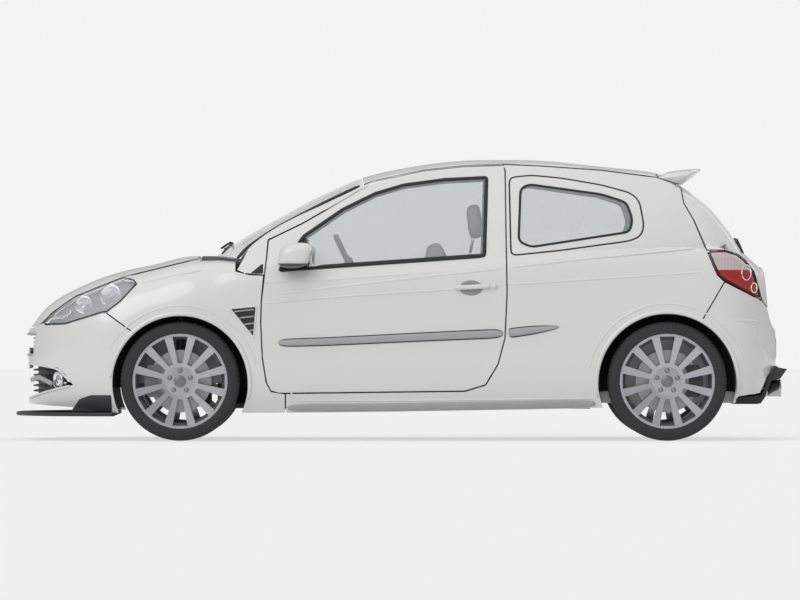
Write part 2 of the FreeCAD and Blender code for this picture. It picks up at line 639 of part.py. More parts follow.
for k in range(5):
    angle = math.radians(72 * k + 90)
    window_cut.append(Part.makeCylinder(size("bolt_hole"), 160, Vec(
        size("bolt_circle") / 2 * math.cos(angle), -150,
        size("bolt_circle") / 2 * math.sin(angle)), Vec(0, 1, 0)))
spokes = spokes.cut(Part.makeCompound(window_cut))
rim_shape = barrel.fuse(spokes)
rim_shape = rim_shape.cut(Part.makeCylinder(size("spigot_bore"), 100, Vec(0, -68, 0),
                                            Vec(0, 1, 0)))
rim_shape = rim_shape.fuse(Part.makeCylinder(40, 6, Vec(0, -80, 0), Vec(0, 1, 0)))
R_D = size("disc_radius")
disc_shape = ring_profile([(SPINDLE, -OFFSET), (80, -OFFSET), (80, -18), (R_D, -18), (R_D, 6),
                           (95, 6), (72, -6), (72, -OFFSET + 10), (SPINDLE, -OFFSET + 10)])
disc_shape = disc_shape.cut(Part.makeCompound(window_cut[12:]))


def upright():
    """Spindle, upright and caliper on one side, about the wheel centre."""
    body = Part.makeCylinder(SPINDLE - FIT, 100, Vec(0, -OFFSET + 3, 0), Vec(0, 1, 0))
    body = body.fuse(brick(-34, 34, 24, 58, -105, 105))
    inset = size("kingpin_inset")
    body = body.fuse(Part.makeCylinder(24, 36, Vec(0, inset, -119)))
    body = body.fuse(Part.makeCylinder(24, 36, Vec(0, inset, 83)))
    body = body.cut(Part.makeCylinder(12 + FIT, 60, Vec(0, inset, -126)))
    body = body.cut(Part.makeCylinder(12 + FIT, 60, Vec(0, inset, 80)))
    body = body.fuse(caliper())
    return body


def caliper():
    """Caliper ahead of the spindle, straddling the disc, with its bracket."""
    block = drum(0, 0, 190, -40, 30).cut(drum(0, 0, 118, -60, 60))
    block = block.common(brick(-220, -90, -60, 60, -85, 85))
    block = block.cut(drum(0, 0, size("disc_radius") + 8, -26, 14))
    return block.fuse(brick(-150, -30, 24, 44, -30, 30))


wheels = [("front_left", AXLE_F, -1), ("front_right", AXLE_F, 1),
          ("rear_left", AXLE_R, -1), ("rear_right", AXLE_R, 1)]


def set_at(item, station, hand):
    """Bind a wheel piece to its axle and track."""
    item.setExpression("Placement.Base.x", "size.axle_" + station)
    item.setExpression("Placement.Base.y", ("-" if hand < 0 else "") + "size.half_track")
    item.setExpression("Placement.Base.z", "size.tyre_radius + 0.5")


for corner, station_x, hand in wheels:
    station = corner.split("_")[0]
    for name, shape in (("tyre", tyre_shape), ("rim", rim_shape), ("brake_disc", disc_shape)):
        piece = shape.copy()
        if hand > 0:
            piece = mirrored(piece)
        set_at(keep(name + "_" + corner, piece), station, hand)

knuckle = upright()
for side_name, hand in (("left", -1), ("right", 1)):
    piece = knuckle.copy() if hand < 0 else mirrored(knuckle)
    set_at(keep("front_knuckle_" + side_name, piece), "front", hand)

# Rear axle: beam with spindles, calipers and trailing arms.
stub = Part.makeCylinder(SPINDLE - FIT, 100, Vec(0, -OFFSET + 3, 0), Vec(0, 1, 0))
stub = stub.fuse(brick(-40, 40, 24, 60, -60, 60))
clamp = caliper()
clamp.rotate(Vec(0, 0, 0), Vec(0, 1, 0), 180)
stub = stub.fuse(clamp)
stub.translate(Vec(AXLE_R, -size("half_track"), WHEEL_Z))
beam = brick(AXLE_R - 40, AXLE_R + 20, -705, 0, WHEEL_Z - 40, WHEEL_Z + 20)
trail = brick(1011, AXLE_R, -560, -500, WHEEL_Z - 40, WHEEL_Z)
keep("rear_axle", both(stub.fuse(beam).fuse(trail)))
silencer = brick(1560, 1900, -460, -200, 244, 340)
tip = drum_x(380, 277, 44, 1890, 2034).cut(drum_x(380, 277, 41, 1905, 2040))
exhaust = silencer.fuse(tip).fuse(drum_x(330, 248, 22, 1010.3, 1570))
keep("exhaust", pair(exhaust))

# ---------------------------------------------------------------- cabin
dash = prism([(-835, 760), (-835, 885), (-780, 905), (-560, 915), (-470, 870), (-480, 760),
              (-560, 640), (-800, 620)], -688.0, 688.0)
hub_point = Vec(-264, -360, 920)
axis = Vec(0.903, 0, 0.4296)
dash = dash.cut(Part.makeCylinder(16 + FIT, 500, hub_point - axis * 520, axis))
keep("dashboard", dash)
rim_ring = Part.makeTorus(size("steering_radius"), 15, Vec(0, 0, 0), Vec(0, 0, 1))
hub = Part.makeCylinder(42, 36, Vec(0, 0, -24), Vec(0, 0, 1))
shaft = Part.makeCylinder(16, 300, Vec(0, 0, -310), Vec(0, 0, 1))
bars = brick(-172, 172, -16, 16, -9, 3).fuse(brick(-16, 16, -172, 0, -9, 3))
wheel = rim_ring.fuse(hub).fuse(shaft).fuse(bars)
steering = keep("steering_wheel", wheel)
steering.Placement = FreeCAD.Placement(hub_point, FreeCAD.Rotation(Vec(0, 0, 1), axis))

HALF_SEAT = size("seat_width") / 2
base = brick(-270, 210, -HALF_SEAT, HALF_SEAT, 330, 500)
runner = brick(-230, 170, -HALF_SEAT + 60, HALF_SEAT - 60, 196, 330)
back = Part.Face(Part.makePolygon([Vec(p[0], -HALF_SEAT, p[1]) for p in
                                   [(120, 470), (250, 490), (430, 1060), (325, 1060),
                                    (120, 470)]])).extrude(Vec(0, 2 * HALF_SEAT, 0))
rest = brick(362, 432, -130, 130, 1077, 1262).fuse(brick(385, 400, -50, 50, 1040, 1100))
seat = base.fuse(runner).fuse(back).fuse(rest)
seat.translate(Vec(0, -370, 0))
keep("front_seats", pair(seat))
bench = prism([(860, 431), (1280, 431), (1330, 960), (1240, 960), (1170, 580), (860, 560)],
              -590.0, 590.0)
bench = bench.fuse(prism([(860, 300), (985, 300), (985, 440), (860, 440)], -590, 590))
keep("rear_bench", bench)

# ---------------------------------------------------------------- checks and files
doc.recompute()
for item in doc.Objects:
    if "Invalid" in item.State or "Error" in item.State:
        raise SystemExit("bad object: " + item.Label)
for label, item in nodes.items():
    if item.Shape.isNull() or not item.Shape.isValid():
        raise SystemExit("bad shape: " + label)
    item.Shape.exportStep("parts/" + label + ".step")
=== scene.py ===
import math
import bmesh
import bpy
import numpy as np
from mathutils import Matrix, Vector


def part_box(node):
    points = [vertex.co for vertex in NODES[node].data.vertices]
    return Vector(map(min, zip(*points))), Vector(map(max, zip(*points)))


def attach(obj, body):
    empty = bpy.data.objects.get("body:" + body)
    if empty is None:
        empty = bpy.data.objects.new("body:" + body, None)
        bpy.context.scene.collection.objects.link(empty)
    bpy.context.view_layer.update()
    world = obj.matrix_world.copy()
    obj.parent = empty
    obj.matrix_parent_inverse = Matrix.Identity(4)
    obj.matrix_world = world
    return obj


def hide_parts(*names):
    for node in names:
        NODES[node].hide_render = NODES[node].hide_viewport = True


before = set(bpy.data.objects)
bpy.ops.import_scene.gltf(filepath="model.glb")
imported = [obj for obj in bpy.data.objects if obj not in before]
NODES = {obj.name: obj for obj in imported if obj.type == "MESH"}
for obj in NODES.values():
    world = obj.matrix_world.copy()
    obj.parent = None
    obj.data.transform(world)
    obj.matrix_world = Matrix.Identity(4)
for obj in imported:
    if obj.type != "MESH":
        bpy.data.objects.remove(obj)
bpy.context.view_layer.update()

# Camera: a long lens square to the car's left side, so the side reads as an elevation.
LENS_MM = 500.0
FRAME_WIDTH_M = 4.242
SENSOR_MM = 36.0
SIDE_M = 0.88
EYE_HEIGHT_M = 0.748
view_camera = bpy.data.objects.new("side_camera", bpy.data.cameras.new("side_camera"))
bpy.context.scene.collection.objects.link(view_camera)
view_camera.data.lens = LENS_MM
view_camera.data.sensor_width = SENSOR_MM
view_camera.data.clip_end = 400.0
view_camera.location = (-0.001, -FRAME_WIDTH_M * LENS_MM / SENSOR_MM - SIDE_M,
                        EYE_HEIGHT_M)
view_camera.rotation_euler = (math.pi / 2, 0.0, 0.0)
bpy.context.scene.camera = view_camera

# Studio: pale paper floor with a backdrop colour that the camera, gloss and glass all see
# as near white, and three large soft lamps.
scene = bpy.context.scene
scene.view_settings.view_transform = "Standard"


class Sock:
    """A shader socket that can be added to, multiplied and compared like a number."""

    def __init__(self, tree, out):
        self.tree = tree
        self.out = out

    def maths(self, operation, other, flip=False):
        node = self.tree.nodes.new("ShaderNodeMath")
        node.operation = operation
        for target, value in zip(node.inputs, (other, self) if flip else (self, other)):
            feed(self.tree, target, value)
        return Sock(self.tree, node.outputs[0])

    def __add__(self, other):
        return self.maths("ADD", other)

    __radd__ = __add__

    def __mul__(self, other):
        return self.maths("MULTIPLY", other)

    __rmul__ = __mul__

    def __sub__(self, other):
        return self.maths("SUBTRACT", other)

    def __rsub__(self, other):
        return self.maths("SUBTRACT", other, flip=True)

    def __lt__(self, other):
        return self.maths("LESS_THAN", other)

    def __gt__(self, other):
        return self.maths("GREATER_THAN", other)


def feed(tree, target, value):
    """Link a socket to a node's input, or set the input to a plain value."""
    if isinstance(value, Sock):
        tree.links.new(value.out, target)
    else:
        target.default_value = value


class Finish:
    """A material under construction: its tree, its shader and the nodes that feed it."""

    def __init__(self, name, color, roughness, metallic=0.0, coat=0.0, alpha=1.0):
        self.material = bpy.data.materials.new(name)
        self.material.use_nodes = True
        self.tree = self.material.node_tree
        self.shader = self.tree.nodes["Principled BSDF"]
        self.set("Base Color", (*color, 1.0))
        self.set("Roughness", roughness)
        self.set("Metallic", metallic)
        self.set("Coat Weight", coat)
        self.set("Alpha", alpha)
        self.material.diffuse_color = (*color, alpha)

    def set(self, name, value):
        feed(self.tree, self.shader.inputs[name], value)

    def node(self, kind, settings=(), out=0, **inputs):
        made = self.tree.nodes.new(kind)
        for key, value in dict(settings).items():
            setattr(made, key, value)
        for key, value in inputs.items():
            feed(self.tree, made.inputs[key.replace("_", " ")], value)
        return Sock(self.tree, made.outputs[out])

    def place(self):
        return self.node("ShaderNodeTexCoord", out=3)

    def axis(self, index):
        return self.node("ShaderNodeSeparateXYZ", out=index, Vector=self.place())

    def grain(self, scale, detail=3.0):
        return self.node("ShaderNodeTexNoise", Vector=self.place(), Scale=scale, Detail=detail)

    def bump(self, height, strength, distance=0.001):
        self.set("Normal", self.node("ShaderNodeBump", Height=height, Strength=strength,
                                     Distance=distance))

    def vary(self, first, second, factor):
        mix = self.tree.nodes.new("ShaderNodeMix")
        mix.data_type = "RGBA"
        mix.inputs[6].default_value = (*first, 1.0)
        mix.inputs[7].default_value = (*second, 1.0)
        self.tree.links.new(factor.out, mix.inputs[0])
        self.set("Base Color", Sock(self.tree, mix.outputs[2]))


def paper_material(name, color, seen, share):
    """Matte paper that the camera, gloss and glass see as a blend of its own shade and a
    plain pale glow, so it stays pale and still shows the car's shadow."""
    finish = Finish(name, color, 0.9)
    finish.set("Roughness", finish.grain(3.0) * 0.05 + 0.88)
    glow = finish.tree.nodes.new("ShaderNodeEmission")
    glow.inputs[0].default_value = (seen, seen, seen, 1.0)
    path = finish.tree.nodes.new("ShaderNodeLightPath")
    rays = Sock(finish.tree, path.outputs["Is Camera Ray"])
    for kind in ("Is Glossy Ray", "Is Transmission Ray"):
        rays = rays.maths("MAXIMUM", Sock(finish.tree, path.outputs[kind]))
    rays = rays * share
    mix = finish.tree.nodes.new("ShaderNodeMixShader")
    finish.tree.links.new(rays.out, mix.inputs[0])
    finish.tree.links.new(finish.shader.outputs[0], mix.inputs[1])
    finish.tree.links.new(glow.outputs[0], mix.inputs[2])
    finish.tree.links.new(mix.outputs[0], finish.tree.nodes["Material Output"].inputs[0])
    return finish.material


def grid_mesh(name, points, wrap_u=False, wrap_v=False):
    """Mesh of an m by n grid of points; either way round may close on itself."""
    m, n = points.shape[:2]
    i, j = np.meshgrid(np.arange(m if wrap_u else m - 1),
                       np.arange(n if wrap_v else n - 1), indexing="ij")
    k, l = (i + 1) % m, (j + 1) % n
    quads = np.stack([i * n + j, k * n + j, k * n + l, i * n + l], axis=-1).reshape(-1, 4)
    mesh = bpy.data.meshes.new(name)
    mesh.vertices.add(m * n)
    mesh.vertices.foreach_set("co", points.reshape(-1).astype(np.float32))
    mesh.loops.add(quads.size)
    mesh.loops.foreach_set("vertex_index", quads.reshape(-1).astype(np.int32))
    mesh.polygons.add(len(quads))
    mesh.polygons.foreach_set("loop_start", np.arange(0, quads.size, 4, dtype=np.int32))
    mesh.polygons.foreach_set("use_smooth", np.ones(len(quads), dtype=bool))
    mesh.update(calc_edges=True)
    mesh.validate()
    return mesh


def add_piece(name, mesh, material, body):
    """Put a finished mesh in the scene on one body of the car."""
    piece = bpy.data.objects.new(name, mesh)
    scene.collection.objects.link(piece)
    mesh.materials.append(material)
    if body:
        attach(piece, body)
    return piece


FLOOR_HALF_M = 60.0
span = np.linspace(-FLOOR_HALF_M, FLOOR_HALF_M, 3)
floor_x, floor_y = np.meshgrid(span, span, indexing="ij")
floor_sheet = add_piece("floor", grid_mesh("floor", np.stack(
    [floor_x, floor_y, np.zeros_like(floor_x)], axis=-1)),
    paper_material("floor_paper", (0.78, 0.78, 0.78), 1.0, 0.62), None)
world = bpy.data.worlds.new("studio")
scene.world = world
world.use_nodes = True
sky = world.node_tree
sky.nodes["Background"].inputs[0].default_value = (1.0, 1.0, 1.0, 1.0)
sky.nodes["Background"].inputs[1].default_value = 0.42
sky_path = sky.nodes.new("ShaderNodeLightPath")
sky_mix = sky.nodes.new("ShaderNodeMixShader")
sky_seen = sky.nodes.new("ShaderNodeBackground")
sky_seen.inputs[0].default_value = (1.0, 1.0, 1.0, 1.0)
sky_seen.inputs[1].default_value = 0.90
sky.links.new(sky_path.outputs["Is Camera Ray"], sky_mix.inputs[0])
sky.links.new(sky.nodes["Background"].outputs[0], sky_mix.inputs[1])
sky.links.new(sky_seen.outputs[0], sky_mix.inputs[2])
sky.links.new(sky_mix.outputs[0], sky.nodes["World Output"].inputs[0])


def soft_lamp(name, toward, spread, power):
    """Very wide, distant lamp: parallel light from one direction, blurred by its spread."""
    lamp = bpy.data.objects.new(name, bpy.data.lights.new(name, "SUN"))
    lamp.data.angle = math.radians(spread)
    lamp.data.energy = power
    scene.collection.objects.link(lamp)
    flat = math.hypot(toward[0], toward[1])
    lamp.rotation_euler = (math.atan2(flat, -toward[2]), 0.0,
                           math.atan2(toward[1], toward[0]) - math.pi / 2)


soft_lamp("lamp_side", (0.45, 0.80, -0.62), 40, 0.95)
soft_lamp("lamp_top", (0.0, 0.1, -1.0), 70, 0.55)
soft_lamp("lamp_far", (-0.5, -0.8, -0.7), 50, 0.45)

# Painted panels: pressed steel in white, clear-coated, with a faint orange peel and a
# thin line of road dust that gathers low on the doors and bumpers.
white_paint = Finish("white_paint", (0.80, 0.80, 0.79), 0.28, coat=0.6)
dust = (1.1 - 3.2 * white_paint.axis(2)).maths("MAXIMUM", 0.0)
dust = dust * white_paint.grain(9.0) * 0.22
white_paint.vary((0.80, 0.80, 0.79), (0.62, 0.61, 0.58), dust)
white_paint.bump(white_paint.grain(900.0), 0.02, 0.0002)
PAINTED = ["side_panel_left", "side_panel_right", "roof_panel", "front_wings",
           "front_bumper", "rear_bumper", "door_left", "door_right", "bonnet", "tailgate",
           "rear_spoiler"]


def dress(names, material):
    """Give CAD nodes a finish."""
    for name in names:
        NODES[name].data.materials.clear()
        NODES[name].data.materials.append(material)


dress(PAINTED, white_paint.material)

# Window glass: clear laminated and tempered panes with a faint green-grey tint.
pane = Finish("window_glass", (0.72, 0.78, 0.78), 0.03, alpha=0.22)
pane.shader.inputs["Specular IOR Level"].default_value = 0.6
pane.set("Roughness", pane.grain(3.0) * 0.03 + 0.02)
dress(["windscreen", "quarter_windows", "door_glass_left", "door_glass_right",
       "tailgate_glass"], pane.material)

# Black moulded plastic: scuttle, splitter and diffuser.
black_plastic = Finish("black_plastic", (0.035, 0.035, 0.038), 0.55)
black_plastic.bump(black_plastic.grain(700.0), 0.25, 0.0004)
dress(["scuttle_panel", "front_splitter", "rear_diffuser"], black_plastic.material)

# Chassis steel, cast knuckles, engine and exhaust under the floor.
chassis = Finish("chassis_steel", (0.05, 0.05, 0.052), 0.6)
chassis.vary((0.05, 0.05, 0.052), (0.10, 0.095, 0.09), chassis.grain(14.0))
dress(["floor_pan", "front_subframe", "rear_axle"], chassis.material)
cast_metal = Finish("cast_metal", (0.25, 0.25, 0.26), 0.5, metallic=0.8)
cast_metal.bump(cast_metal.grain(350.0), 0.4, 0.0006)
dress(["front_knuckle_left", "front_knuckle_right", "engine_block"], cast_metal.material)
exhaust_steel = Finish("exhaust_steel", (0.55, 0.54, 0.53), 0.3, metallic=1.0)
exhaust_steel.set("Roughness", exhaust_steel.grain(60.0) * 0.25 + 0.15)
dress(["exhaust"], exhaust_steel.material)

CORNERS = {"front_left": -1, "front_right": 1, "rear_left": -1, "rear_right": 1}


def middle(node):
    """Middle of a CAD node's box."""
    low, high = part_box(node)
    return (np.array(low) + np.array(high)) / 2


# Tyres: low road tyres with four straight grooves, cross sipes and a rounded shoulder.
# Each is one profile turned about its axle, its radius lowered where a groove runs.
rubber = Finish("tyre_rubber", (0.030, 0.030, 0.032), 0.75)
rubber.bump(rubber.grain(500.0), 0.3, 0.0004)
SIPE_DEPTH = 0.0045
SIPE_EVERY = 6


def tyre_surface(centre, turns=480):
    """Profile (radius against width) turned about the axle.  The radius drops by the
    groove depth where the width lies in one of four bands, and where the angle falls in
    a narrow slot of the shoulder blocks."""
    across = np.array([-.094, -.104, -.1065, -.1072, -.1065, -.103, -.098, -.092, -.086,
                       -.080, -.072, -.0585, -.058, -.048, -.0475, -.026, -.0255, -.0155,
                       -.015, .015, .0155, .0255, .026, .0475, .048, .058, .0585, .072,
                       .080, .086, .092, .098, .103, .1065, .1072, .1065, .104, .094])
    radius = np.array([.2500, .2535, .262, .276, .290, .300, .307, .3115, .3140, .3152,
                       .3158, .3162, .3092, .3092, .3162, .3163, .3093, .3093, .3163,
                       .3163, .3093, .3093, .3163, .3162, .3092, .3092, .3162, .3158,
                       .3152, .3140, .3115, .307, .300, .290, .276, .262, .2535, .2500])
    angle = np.linspace(0.0, 2 * np.pi, turns, endpoint=False)
    slot = ((np.arange(turns) % SIPE_EVERY) == 0)[:, None]
    shoulder = (np.abs(across) > 0.06) & (np.abs(across) < 0.1)
    r = radius[None, :] - SIPE_DEPTH * (slot & shoulder[None, :])
    y = np.broadcast_to(across, r.shape)
    return np.stack([centre[0] + r * np.cos(angle)[:, None], centre[1] + y,
                     centre[2] + r * np.sin(angle)[:, None]], axis=-1)


for corner in CORNERS:
    name = "tyre_" + corner + "_tread"
    tyre_mesh = grid_mesh(name, tyre_surface(middle("tyre_" + corner)), wrap_u=True,
                          wrap_v=True)
    tyre = add_piece(name, tyre_mesh, rubber.material, "wheel_" + corner)
    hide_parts("tyre_" + corner)

# Wheels: cast alloy with twelve spokes, satin silver; iron discs behind them.
alloy = Finish("wheel_alloy", (0.50, 0.51, 0.53), 0.32, metallic=0.85)
alloy.set("Roughness", alloy.grain(40.0) * 0.15 + 0.25)
disc_iron = Finish("disc_iron", (0.42, 0.42, 0.43), 0.35, metallic=0.9)
disc_iron.bump(disc_iron.grain(160.0), 0.2, 0.0003)
for corner in CORNERS:
    dress(["rim_" + corner], alloy.material)
    dress(["brake_disc_" + corner], disc_iron.material)

# Cabin: grained plastic and grey cloth.
cabin_plastic = Finish("cabin_plastic", (0.16, 0.16, 0.165), 0.6)
cabin_plastic.bump(cabin_plastic.grain(420.0), 0.35, 0.0006)
dress(["dashboard", "steering_wheel"], cabin_plastic.material)
cloth = Finish("seat_fabric", (0.30, 0.30, 0.31), 0.9)
cloth.vary((0.26, 0.26, 0.27), (0.38, 0.38, 0.39), cloth.grain(650.0))
dress(["front_seats", "rear_bench"], cloth.material)

# Seals: black rubber beads round every pane, pressed over the panel edge.  They follow the
# car's outer form, a section at each station along the car, so the form is worked out here.
def stations(points):
    """Cubic through (station, value) pairs whose slope at each is the harmonic mean of the
    chords beside it, or nothing where they disagree in sign."""
    xs, ys = np.array(points, dtype=float).T
    h = np.diff(xs)
    d = np.diff(ys) / h
    same = d[:-1] * d[1:] > 0
    a, b = 2 * h[1:] + h[:-1], h[1:] + 2 * h[:-1]
    mid = (a + b) / (a / np.where(same, d[:-1], 1.0) + b / np.where(same, d[1:], 1.0))
    m = np.concatenate([[d[0]], np.where(same, mid, 0.0), [d[-1]]])

    def value(x):
        x = np.clip(x, xs[0], xs[-1])
        i = np.clip(np.searchsorted(xs, x, side="right") - 1, 0, len(h) - 1)
        t = (x - xs[i]) / h[i]
        low = (1 + 2 * t) * (1 - t) ** 2 * ys[i] + t * (1 - t) ** 2 * h[i] * m[i]
        return low + t * t * (3 - 2 * t) * ys[i + 1] + t * t * (t - 1) * h[i] * m[i + 1]

    return value


def spline_rows(knots, t):
    """Weights that carry values at the knots to a natural cubic at t: a linear blend plus
    bends whose second derivatives solve the three-term equations."""
    k = np.array(knots)
    n = len(k)
    h = np.diff(k)
    left, right = np.eye(n), np.zeros((n, n))
    for i in range(1, n - 1):
        left[i, i - 1:i + 2] = h[i - 1], 2 * (h[i - 1] + h[i]), h[i]
        right[i, i - 1:i + 2] = 6 / h[i - 1], -6 / h[i - 1] - 6 / h[i], 6 / h[i]
    second = np.linalg.solve(left, right)
    i = np.clip(np.searchsorted(k, t, side="right") - 1, 0, n - 2)
    a = ((k[i + 1] - t) / h[i])[:, None]
    b = 1 - a
    bend = (a ** 3 - a) * second[i] + (b ** 3 - b) * second[i + 1]
    return a * np.eye(n)[i] + b * np.eye(n)[i + 1] + bend * (h[i] ** 2 / 6)[:, None]


AROUND = np.linspace(0.0, 1.0, 241)
LOWER_ROWS = spline_rows([0, .10, .28, .42, .52, .60, .74, .87, 1.0], AROUND)
HOUSE_ROWS = spline_rows([0, .22, .42, .52, .60, .80, 1.0], AROUND)
plan_core = stations([(-2004, 872), (-1300, 874), (-1168, 876), (-740, 866), (0, 868),
                      (600, 872), (1417, 880), (2022, 868)])
body_top = stations([(-2004, 548), (-1985, 600), (-1959, 632), (-1935, 668), (-1914, 692),
                     (-1841, 753), (-1744, 806), (-1663, 843), (-1582, 875), (-1432, 917),
                     (-1337, 935), (-1102, 984), (-989, 984), (-700, 950), (0, 960),
                     (800, 1010), (1500, 1040), (1614, 1052), (1722, 1036), (1830, 1002),
                     (1900, 945), (1944, 905), (1955, 800), (1965, 699), (1992, 618),
                     (2012, 590), (2022, 560)])
body_bottom = stations([(-2004, 199), (-1950, 192), (-1700, 175), (-1500, 150), (-800, 149),
                        (635, 166), (1054, 176), (1700, 200), (1900, 225), (1980, 330),
                        (2022, 400)])
shoulder = stations([(-2004, 500), (-1959, 560), (-1900, 610), (-1800, 680), (-1600, 770),
                     (-1347, 847), (-1043, 920), (-900, 925), (-796, 890), (-600, 900),
                     (0, 935), (561, 976), (856, 1000), (1224, 1030), (1548, 1028),
                     (1614, 1022), (1722, 1000), (1830, 945), (1900, 870), (1944, 790),
                     (1965, 640), (1992, 560), (2022, 500)])
shoulder_step = stations([(-2004, 20), (-1900, 60), (-1347, 78), (-1043, 78), (-900, 60),
                          (-796, 36), (0, 36), (1224, 40), (1614, 60), (1830, 60),
                          (1965, 40), (2022, 16)])
house_top = stations([(-1060, 925), (-989, 984), (-637, 1198), (-400, 1322), (-201, 1406),
                      (20, 1457), (237, 1489), (400, 1500), (635, 1501), (748, 1497),
                      (1072, 1465), (1359, 1432), (1440, 1400), (1505, 1359), (1646, 1256),
                      (1722, 1170), (1793, 1072), (1830, 1002), (1880, 900)])
house_drop = stations([(-1060, 96), (-989, 96), (-700, 90), (-400, 66), (-201, 50),
                       (100, 42), (1072, 38), (1359, 36), (1505, 50), (1700, 70), (1880, 80)])
belt_width = stations([(-1060, 810), (-700, 830), (0, 830), (600, 828), (1100, 812),
                       (1400, 782), (1614, 735), (1750, 690), (1880, 640)])
belt_line = stations([(-1060, 890), (-700, 890), (0, 932), (561, 974), (1224, 1028),
                      (1614, 1022), (1880, 900)])


def lower_form(x):
    """Half sections of the lower body at stations x: nine points from sill to bonnet or
    deck, placed by width, height and shoulder, joined by the natural cubic."""
    u = np.clip(1 - (x + 2004) / 720, 0, 1)
    w = np.clip(1 - (2022 - x) / 480, 0, 1)
    width = np.maximum(plan_core(x) * (1 - u ** 2.6) ** (1 / 2.6) * (1 - w ** 3) ** (1 / 3), 12)
    low, high = body_bottom(x), body_top(x)
    edge = np.minimum(shoulder(x), high - 6)
    soft = np.minimum(1, width / 400)
    step = np.minimum(shoulder_step(x) * soft, width * 0.3)
    rise, top = edge - low, high - edge
    y = np.stack([width - 55 * soft, width - 14 * soft, width, width - 8 * soft, width - step,
                  0.9 * width - step, 0.6 * width, 0.3 * width, 0 * width], axis=-1)
    z = np.stack([low, low + 0.16 * rise, low + 0.5 * rise, low + 0.8 * rise, edge,
                  edge + 0.55 * top, high - 0.13 * top, high - 0.03 * top, high], axis=-1)
    return y @ LOWER_ROWS.T, z @ LOWER_ROWS.T


def house_form(x):
    """Half sections of the greenhouse: sides that lean in by 0.47 of their height, a firm
    roof edge and a shallow roof, joined by the natural cubic."""
    high = house_top(x)
    edge = high - house_drop(x)
    belt = belt_line(x)
    low = np.minimum(belt - 50, edge - 70)
    mid = (low + edge) / 2
    side = [np.maximum(belt_width(x) - 0.47 * (z - belt) + bulge, 30)
            for z, bulge in ((low, 0), (mid, 14), (edge, 0))]
    y = np.stack([*side, side[2] - 42, 0.80 * side[2], 0.42 * side[2], 0 * high], axis=-1)
    z = np.stack([low, mid, edge, edge + 0.42 * (high - edge), edge + 0.66 * (high - edge),
                  edge + 0.93 * (high - edge), high], axis=-1)
    return y @ HOUSE_ROWS.T, z @ HOUSE_ROWS.T


def skin_y(x, z):
    """Half width of the car at (x, z): on each form, the first place up its section that
    reaches the height, and then the wider of the two forms."""
    found = []
    for form in (lower_form, house_form):
        ys, zs = form(x.ravel())
        at = z.ravel()[:, None]
        k = np.where((zs >= at).any(axis=1), np.argmax(zs >= at, axis=1), len(AROUND) - 1)
        k = np.clip(k, 1, len(AROUND) - 1)
        row = np.arange(len(k))
        share = (at[:, 0] - zs[row, k - 1]) / (zs[row, k] - zs[row, k - 1] + 1e-9)
        y = ys[row, k - 1] + (ys[row, k] - ys[row, k - 1]) * np.clip(share, 0, 1)
        outside = (at[:, 0] < zs[:, 0]) | (x.ravel() < -1060) | (x.ravel() > 1880)
        found.append(np.where(outside & (form is house_form), 0, y))
    return np.maximum(found[0], found[1]).reshape(x.shape)


def skin_z(x, y, form=house_form):
    """Height of a form at (x, |y|), found from its middle outward."""
    ys, zs = form(x.ravel())
    ys, zs = ys[:, ::-1], zs[:, ::-1]
    at = np.abs(y).ravel()[:, None]
    k = np.clip(np.argmax(ys >= at, axis=1), 1, len(AROUND) - 1)
    row = np.arange(len(k))
    share = (at[:, 0] - ys[row, k - 1]) / (ys[row, k] - ys[row, k - 1] + 1e-9)
    z = zs[row, k - 1] + (zs[row, k] - zs[row, k - 1]) * np.clip(share, 0, 1)
    return z.reshape(x.shape)


def eased(points, radius=20.0, closed=True, step=7.0):
    """Outline resampled at even steps, then rounded at its corners by a weighted running
    mean as wide as the radius on each side."""
    line = np.array(points, dtype=float)
    line = np.vstack([line, line[:1]]) if closed else line
    run = np.concatenate([[0.0], np.cumsum(np.linalg.norm(np.diff(line, axis=0), axis=1))])
    at = np.linspace(0.0, run[-1], max(int(run[-1] / step), 12), endpoint=not closed)
    line = np.stack([np.interp(at, run, column) for column in line.T], axis=1)
    m = max(1, int(radius / step))
    reach = np.arange(-m, m + 1)
    weight = 1 + np.cos(np.pi * reach / (m + 1))
    weight /= weight.sum()
    if closed:
        return sum(w * np.roll(line, r, axis=0) for w, r in zip(weight, reach))
    wide = np.vstack([2 * line[0] - line[m:0:-1], line, 2 * line[-1] - line[-2:-m - 2:-1]])
    return sum(w * wide[m + r:m + r + len(line)] for w, r in zip(weight, reach))


def skin_frame(x, z):
    """Points of the left side at (x, z), and the outward direction there from the two
    slopes of the half width."""
    y = skin_y(x, z)
    slope_x = (skin_y(x + 1.5, z) - skin_y(x - 1.5, z)) / 3.0
    slope_z = (skin_y(x, z + 1.5) - skin_y(x, z - 1.5)) / 3.0
    out = np.stack([-slope_x, -np.ones_like(y), -slope_z], axis=-1)
    return np.stack([x, -y, z], axis=-1), out / np.linalg.norm(out, axis=-1)[..., None]


